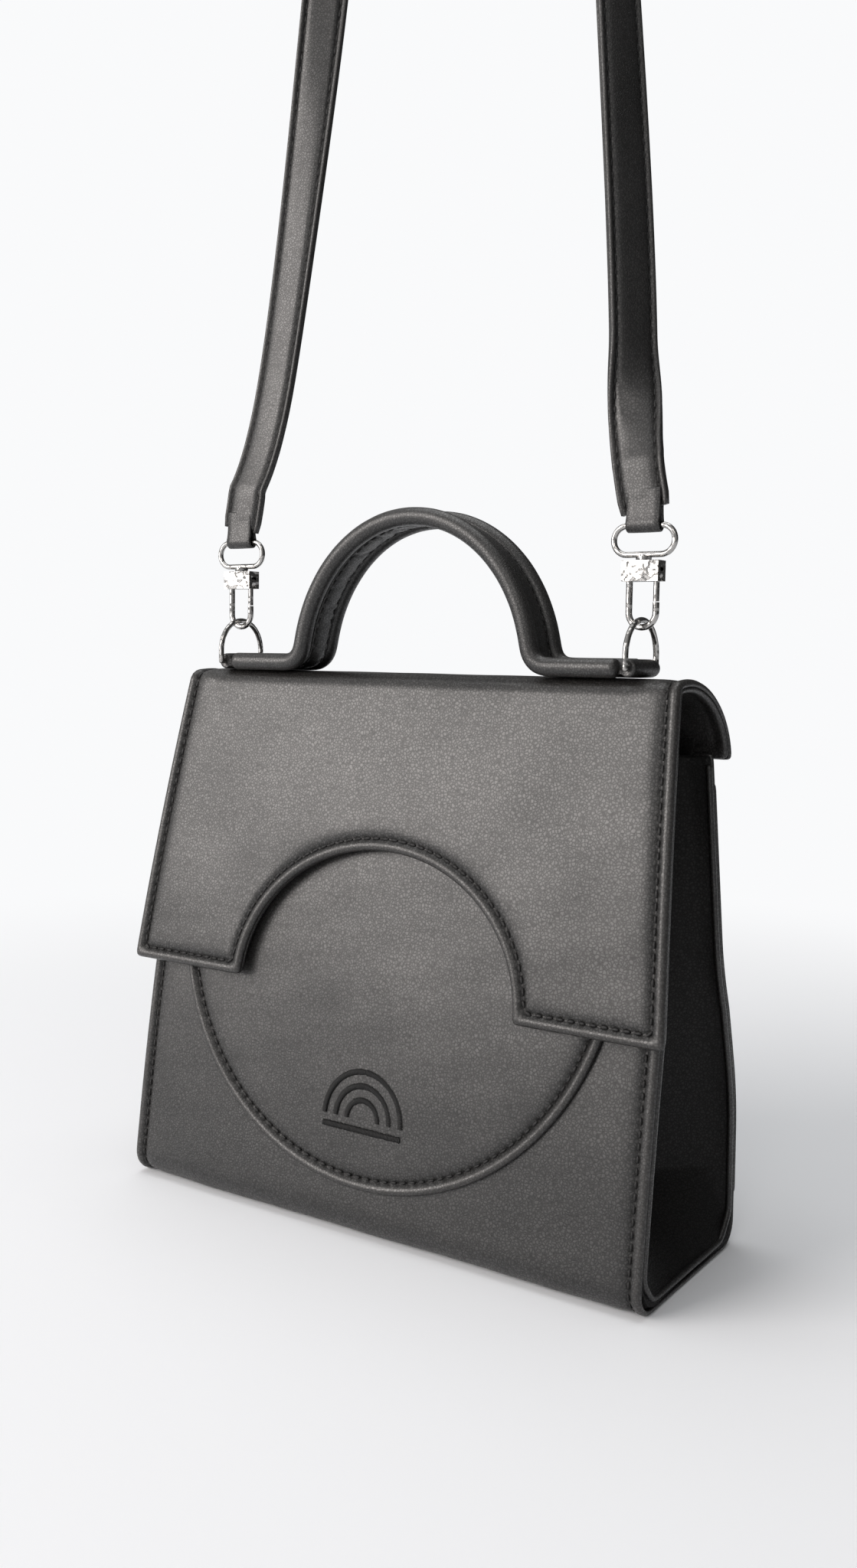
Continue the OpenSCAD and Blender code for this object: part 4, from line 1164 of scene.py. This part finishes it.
def makeHandle():
    spots = handleRoute()
    step = np.gradient(spots, axis=0)
    step /= np.linalg.norm(step, axis=1)[:, None]
    out = np.stack([-step[:, 1], step[:, 0]], 1)
    run = np.concatenate([[0], np.cumsum(np.linalg.norm(np.diff(spots, axis=0), axis=1))])
    phase = run * 2 * math.pi / handle["stitchPitch"]
    r, mid = handle["roll"], handle["pitch"] / 2
    section, kinds = [], []
    for a in range(62, -254, -15):                # round the front roll
        section.append((r * math.cos(math.radians(a)), -mid - r * math.sin(math.radians(-a))))
        kinds.append(0)
    for y in (-4.5, -3.6, -1.8, 0, 1.8, 3.6, 4.5):      # under the web
        section.append((-1.25, y))
        kinds.append(1)
    for a in range(253, -63, -15):                 # round the back roll
        section.append((r * math.cos(math.radians(a)), mid + r * math.sin(math.radians(-a))))
        kinds.append(0)
    for y, n in ((4.9, 0.7), (4.4, 0.45), (3.9, 0.7), (3.0, 1.15), (1.5, 1.35), (0, 1.4), (-1.5, 1.35),
                 (-3.0, 1.15), (-3.9, 0.7), (-4.4, 0.45), (-4.9, 0.7)):
        section.append((n, y))
        kinds.append(2)
    rings, seams, edges = [], [], []
    total = run[-1]
    for i, (x, z) in enumerate(spots):
        end = min(run[i], total - run[i])
        cap = math.sqrt(max(0.02, 1 - (1 - min(1, end / 2.2)) ** 2))
        ring, seam, edge = [], [], []
        lift = 0.12 * math.sin(run[i] * 0.21) + 0.08 * math.sin(run[i] * 0.57 + 1)
        for (n, y), kind in zip(section, kinds):
            if kind == 0:
                c = -mid if y < 0 else mid
                q = (y - c) * cap * (1 + 0.02 * lift)
                n2 = n * cap * (1 + 0.03 * lift)
                y2 = c + q
            else:
                n2, y2 = n * cap, y
            cut = float(bell(abs(y), 4.4, 0.5)) if kind == 2 else 0.0
            n2 -= 0.12 * cut * (0.5 + 0.5 * math.cos(phase[i]))
            ring.append((x + out[i, 0] * n2, handle["y"] + y2, z + out[i, 1] * n2))
            # seam mask paints shade along the stitch rows; edge mask paints a highlight on the front and back rolls
            seam.append(cut * (0.5 + 0.5 * math.cos(phase[i])))
            edge.append(0.6 * float(bell(n, r, 1.2)) if kind == 0 else 0.0)
        rings.append(ring)
        seams.append(seam)
        edges.append(edge)
    obj = sweep("handleCover", rings, {"seam": seams, "edge": edges})
    finished(obj, "handle", "leather", "top", ("handle_cover", "handle_core_front", "handle_core_back"))
    lines = []
    for y in (-4.4, 4.4):
        lines.append((np.stack([spots[:, 0] + out[:, 0] * 0.62, np.full(len(spots), handle["y"] + y),
                                spots[:, 1] + out[:, 1] * 0.62], 1)[3:-3], False))
    for y in (-3.9, 3.9):                        # the strip under the web has its own rows
        keep = np.abs(spots[:, 0]) < 62
        lines.append((np.stack([spots[:, 0] - out[:, 0] * 2.45, np.full(len(spots), handle["y"] + y),
                                spots[:, 1] - out[:, 1] * 2.45], 1)[keep], False))
    sewn("handleStitches", lines, "top", normal=(0, 0, 1), Pitch=handle["stitchPitch"] * mm, Length=0.0027,
         Width=0.0008, Depth=0.0007)
    makeUnderside(spots, out, run)


def makeUnderside(spots, out, run):
    keep = np.abs(spots[:, 0]) < 65
    rng = np.random.default_rng(8)
    creases = [(rng.uniform(20, run[-1] - 20), rng.uniform(0.5, 1.2), rng.uniform(-1, 1)) for _ in range(46)]
    rings = []
    for (x, z), (nx, nz), s in zip(spots[keep], out[keep], run[keep]):
        ring = []
        for y, n in ((-4.9, -1.35), (-4.9, -1.8), (-4.6, -2.2), (-3.9, -2.3), (-3.0, -2.65), (-1.5, -2.85),
                     (0, -2.9), (1.5, -2.85), (3.0, -2.65), (3.9, -2.3), (4.6, -2.2), (4.9, -1.8),
                     (4.9, -1.35)):
            pinch = sum(float(bell(s + y * lean, at, wide)) for at, wide, lean in creases)
            n2 = n + (0.34 * pinch if n < -2.25 else 0)
            ring.append((x + nx * n2, handle["y"] + y, z + nz * n2))
        rings.append(ring)
    obj = sweep("handleUnderside", rings)
    finished(obj, "handle", "leather_inner", "top", ("handle_under",))


makeHandle()


ringLoop = {"x": 88.0, "radius": 3.1, "tailFrom": 84, "tailShare": 0.47}


def makeRingLoop(side, label):
    x, z, y, r = ringLoop["x"], handle["footHeight"], handle["y"], ringLoop["radius"]
    outline = [(x + r * math.cos(math.radians(a)), z + r * math.sin(math.radians(a)))
               for a in range(140, -141, -14)]
    outline += [(84.6, z - 2.2), (80.0, z - 1.75), (70.0, z - 1.6), (67.0, z - 1.5), (66.9, z - 0.4),
                (70.0, z - 0.1), (80.0, z + 0.2), (83.8, z + 1.2)]
    outline = np.array(outline)
    middle = np.array([x - 2, z])
    rings = []
    for t, shrink in ((-10.0, 0.72), (-9.8, 0.86), (-9.2, 0.96), (-8.2, 1.0), (0, 1.02), (8.2, 1.0),
                      (9.2, 0.96), (9.8, 0.86), (10.0, 0.72)):
        ring = []
        for px, pz in outline:
            slim = 1.0 if px > ringLoop["tailFrom"] else ringLoop["tailShare"]
            grown = 1 if px < ringLoop["tailFrom"] else shrink
            qx, qz = middle + (np.array([px, pz]) - middle) * grown
            ring.append((side * qx, y + t * slim, qz))
        rings.append(ring)
    obj = sweep("ringLoop" + label, rings)
    solid = obj.modifiers.new("softness", "SUBSURF")
    solid.levels = solid.render_levels = 1
    baked(obj)
    finished(obj, "handle", "leather", "top", ("ring_loop_" + label.lower(),))


makeRingLoop(-1, "Left")
makeRingLoop(1, "Right")
print("handle made")

emblem = {"middle": 43.0, "radii": (6.8, 11.8, 16.8), "bar": 17.0, "barHeight": 39.2, "threadPitch": 0.42}


def makeEmblem():
    high = np.linspace(20, 90, 100)
    runs = np.array([wrapPath.whereHigh(z) for z in high])
    lines = []
    for r in emblem["radii"]:
        a = np.linspace(0, math.pi, 60)
        x, z = r * np.cos(a), emblem["middle"] + r * np.sin(a)
        lines.append((wrapPath.place(x, np.interp(z, high, runs), 2.05), False))
    x = np.linspace(-emblem["bar"], emblem["bar"], 30)
    along = float(np.interp(emblem["barHeight"], high, runs))
    lines.append((wrapPath.place(x, np.full(30, along), 2.05), False))
    obj = sewn("pocketEmblem", lines, "bag", normal=(0, -0.98, 0.2), Pitch=emblem["threadPitch"] * mm,
               Length=0.00055, Width=0.0024, Depth=0.0011)
    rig.replaces(obj, "patch_motif")


makeEmblem()
sewn("bagStitches", bagLines, "bag", **seamStitch)
print("stitches made")

nodeFinish = {"nickel": ["d_ring_left", "d_ring_right", "hook_left", "hook_right", "gate_left", "gate_right",
                         "gate_pin_left", "gate_pin_right", "swivel_left", "swivel_right"],
              "steel": ["gate_spring_left", "gate_spring_right"],
              "magnet": ["panel_magnets", "flap_magnets"],
              "board": ["front_board", "base_board", "back_board", "crown_board", "flap_board"]}
for key, names in nodeFinish.items():
    for name in names:
        node = frame["nodes"][name]
        node = node if isinstance(node, bpy.types.Object) else bpy.data.objects[name]
        if not node.material_slots:
            node.data.materials.append(finish[key])
        for place in node.material_slots:
            place.link = "OBJECT"
            place.material = finish[key]
print("metal and boards finished")

studio = {"white": 0.965, "floorTone": 0.90, "fadeFrom": 0.22, "fadeTo": 0.75, "bright": (-0.55, -0.80, 0.25),
          "worldDim": 0.06, "worldBright": 0.62, "glossShare": 0.3, "warm": (1.0, 0.945, 0.91)}
lamps = {
    "keyLight": {"place": (-1.22, -1.80, 0.88), "aim": (0, 0, 0.13), "width": 1.6, "height": 1.3,
                 "power": 45.0, "colour": studio["warm"]},
    "cameraSideLight": {"place": (0.75, -1.75, 1.40), "aim": (0, 0, 0.4), "width": 0.8, "height": 0.8,
                        "power": 5.0, "colour": studio["warm"]},
    "topLight": {"place": (-0.3, 0.1, 2.3), "aim": (0, 0, 0.1), "width": 1.8, "height": 1.8, "power": 22.0},
}


def makeFloor():
    turn = np.linspace(0, 2 * math.pi, 97)[:-1]
    rings = [np.stack([r * np.cos(turn), r * np.sin(turn), np.zeros(96)], 1)
             for r in (300, 1200, 4000, 12000)]
    points = [(0, 0, 0)] + [tuple(p) for ring in rings for p in ring]
    faces = [(0, 1 + i, 1 + (i + 1) % 96) for i in range(96)]
    faces += [(1 + a * 96 + i, 97 + a * 96 + i, 97 + a * 96 + (i + 1) % 96, 1 + a * 96 + (i + 1) % 96)
              for a in range(3) for i in range(96)]
    obj = meshObject("floor", points, faces, recalc=False)
    obj.location.z = -0.0002
    material, tree, shader, spot = newMaterial("paleFloor", Roughness=0.9)
    mottle = addNode(tree, "ShaderNodeTexNoise", {"Vector": spot, "Scale": 3.0}).outputs["Fac"]
    tone = studio["floorTone"]
    base = blendColour(tree, mottle, (tone * 0.97, tone * 0.99, tone * 1.02),
                       (tone * 0.98, tone, tone * 1.03))
    tree.links.new(base, shader.inputs["Base Color"])
    away = addNode(tree, "ShaderNodeVectorMath", {0: spot}, operation="LENGTH").outputs["Value"]
    far = addNode(tree, "ShaderNodeMapRange", {"Value": away, "From Min": studio["fadeFrom"],
                                               "From Max": studio["fadeTo"]}, interpolation_type="SMOOTHSTEP")
    rays = tree.nodes.new("ShaderNodeLightPath")
    seen = maths(tree, "MAXIMUM", rays.outputs["Is Camera Ray"], rays.outputs["Is Transmission Ray"])
    share = maths(tree, "MULTIPLY", far.outputs[0], seen)
    glow = addNode(tree, "ShaderNodeEmission", {"Color": (0.985, 0.99, 1.0, 1.0),
                                                "Strength": studio["white"]})
    both = addNode(tree, "ShaderNodeMixShader", {0: share, 1: shader.outputs[0], 2: glow.outputs[0]})
    tree.links.new(both.outputs[0], tree.nodes["Material Output"].inputs[0])
    obj.data.materials.append(material)
    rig.stage(obj)


def makeWorld():
    world = bpy.data.worlds.new("studio")
    scene.world = world
    world.use_nodes = True
    tree = world.node_tree
    tree.nodes.clear()
    rays = tree.nodes.new("ShaderNodeLightPath")
    towards = addNode(tree, "ShaderNodeTexCoord").outputs["Generated"]
    facing = addNode(tree, "ShaderNodeVectorMath", {0: towards, 1: studio["bright"]},
                     operation="DOT_PRODUCT").outputs["Value"]
    gloss = maths(tree, "MULTIPLY", rays.outputs["Is Glossy Ray"], ramp(tree, facing, 0.0, 0.9, 0.0,
                                                                       studio["glossShare"]))
    seen = maths(tree, "MAXIMUM", rays.outputs["Is Camera Ray"], gloss)
    seen = maths(tree, "MAXIMUM", seen, rays.outputs["Is Transmission Ray"])
    strength = ramp(tree, facing, -0.5, 0.9, studio["worldDim"], studio["worldBright"])
    light = addNode(tree, "ShaderNodeBackground", {"Color": (0.99, 0.985, 0.98, 1.0), "Strength": strength})
    white = addNode(tree, "ShaderNodeBackground", {"Color": (0.985, 0.99, 1.0, 1.0),
                                                   "Strength": studio["white"]})
    both = addNode(tree, "ShaderNodeMixShader", {0: seen, 1: light.outputs[0], 2: white.outputs[0]})
    end = tree.nodes.new("ShaderNodeOutputWorld")
    tree.links.new(both.outputs[0], end.inputs[0])


def areaLight(name, place, aim, width, height, power, colour=(1, 1, 1)):
    data = bpy.data.lights.new(name, "AREA")
    data.shape, data.size, data.size_y = "RECTANGLE", width, height
    data.energy, data.color = power, colour
    obj = bpy.data.objects.new(name, data)
    scene.collection.objects.link(obj)
    obj.location = place
    obj.rotation_mode = "QUATERNION"
    obj.rotation_quaternion = (Vector(aim) - Vector(place)).to_track_quat("-Z", "Y")
    obj.visible_camera = False


makeFloor()
makeWorld()
for name, lamp in lamps.items():
    areaLight(name, **lamp)
scene.view_settings.view_transform = "Standard"
print("studio made")

low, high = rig.bounds()
with open("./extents.json", "w") as out:
    json.dump([[list(cadLow), list(cadHigh)], [list(low), list(high)]], out)
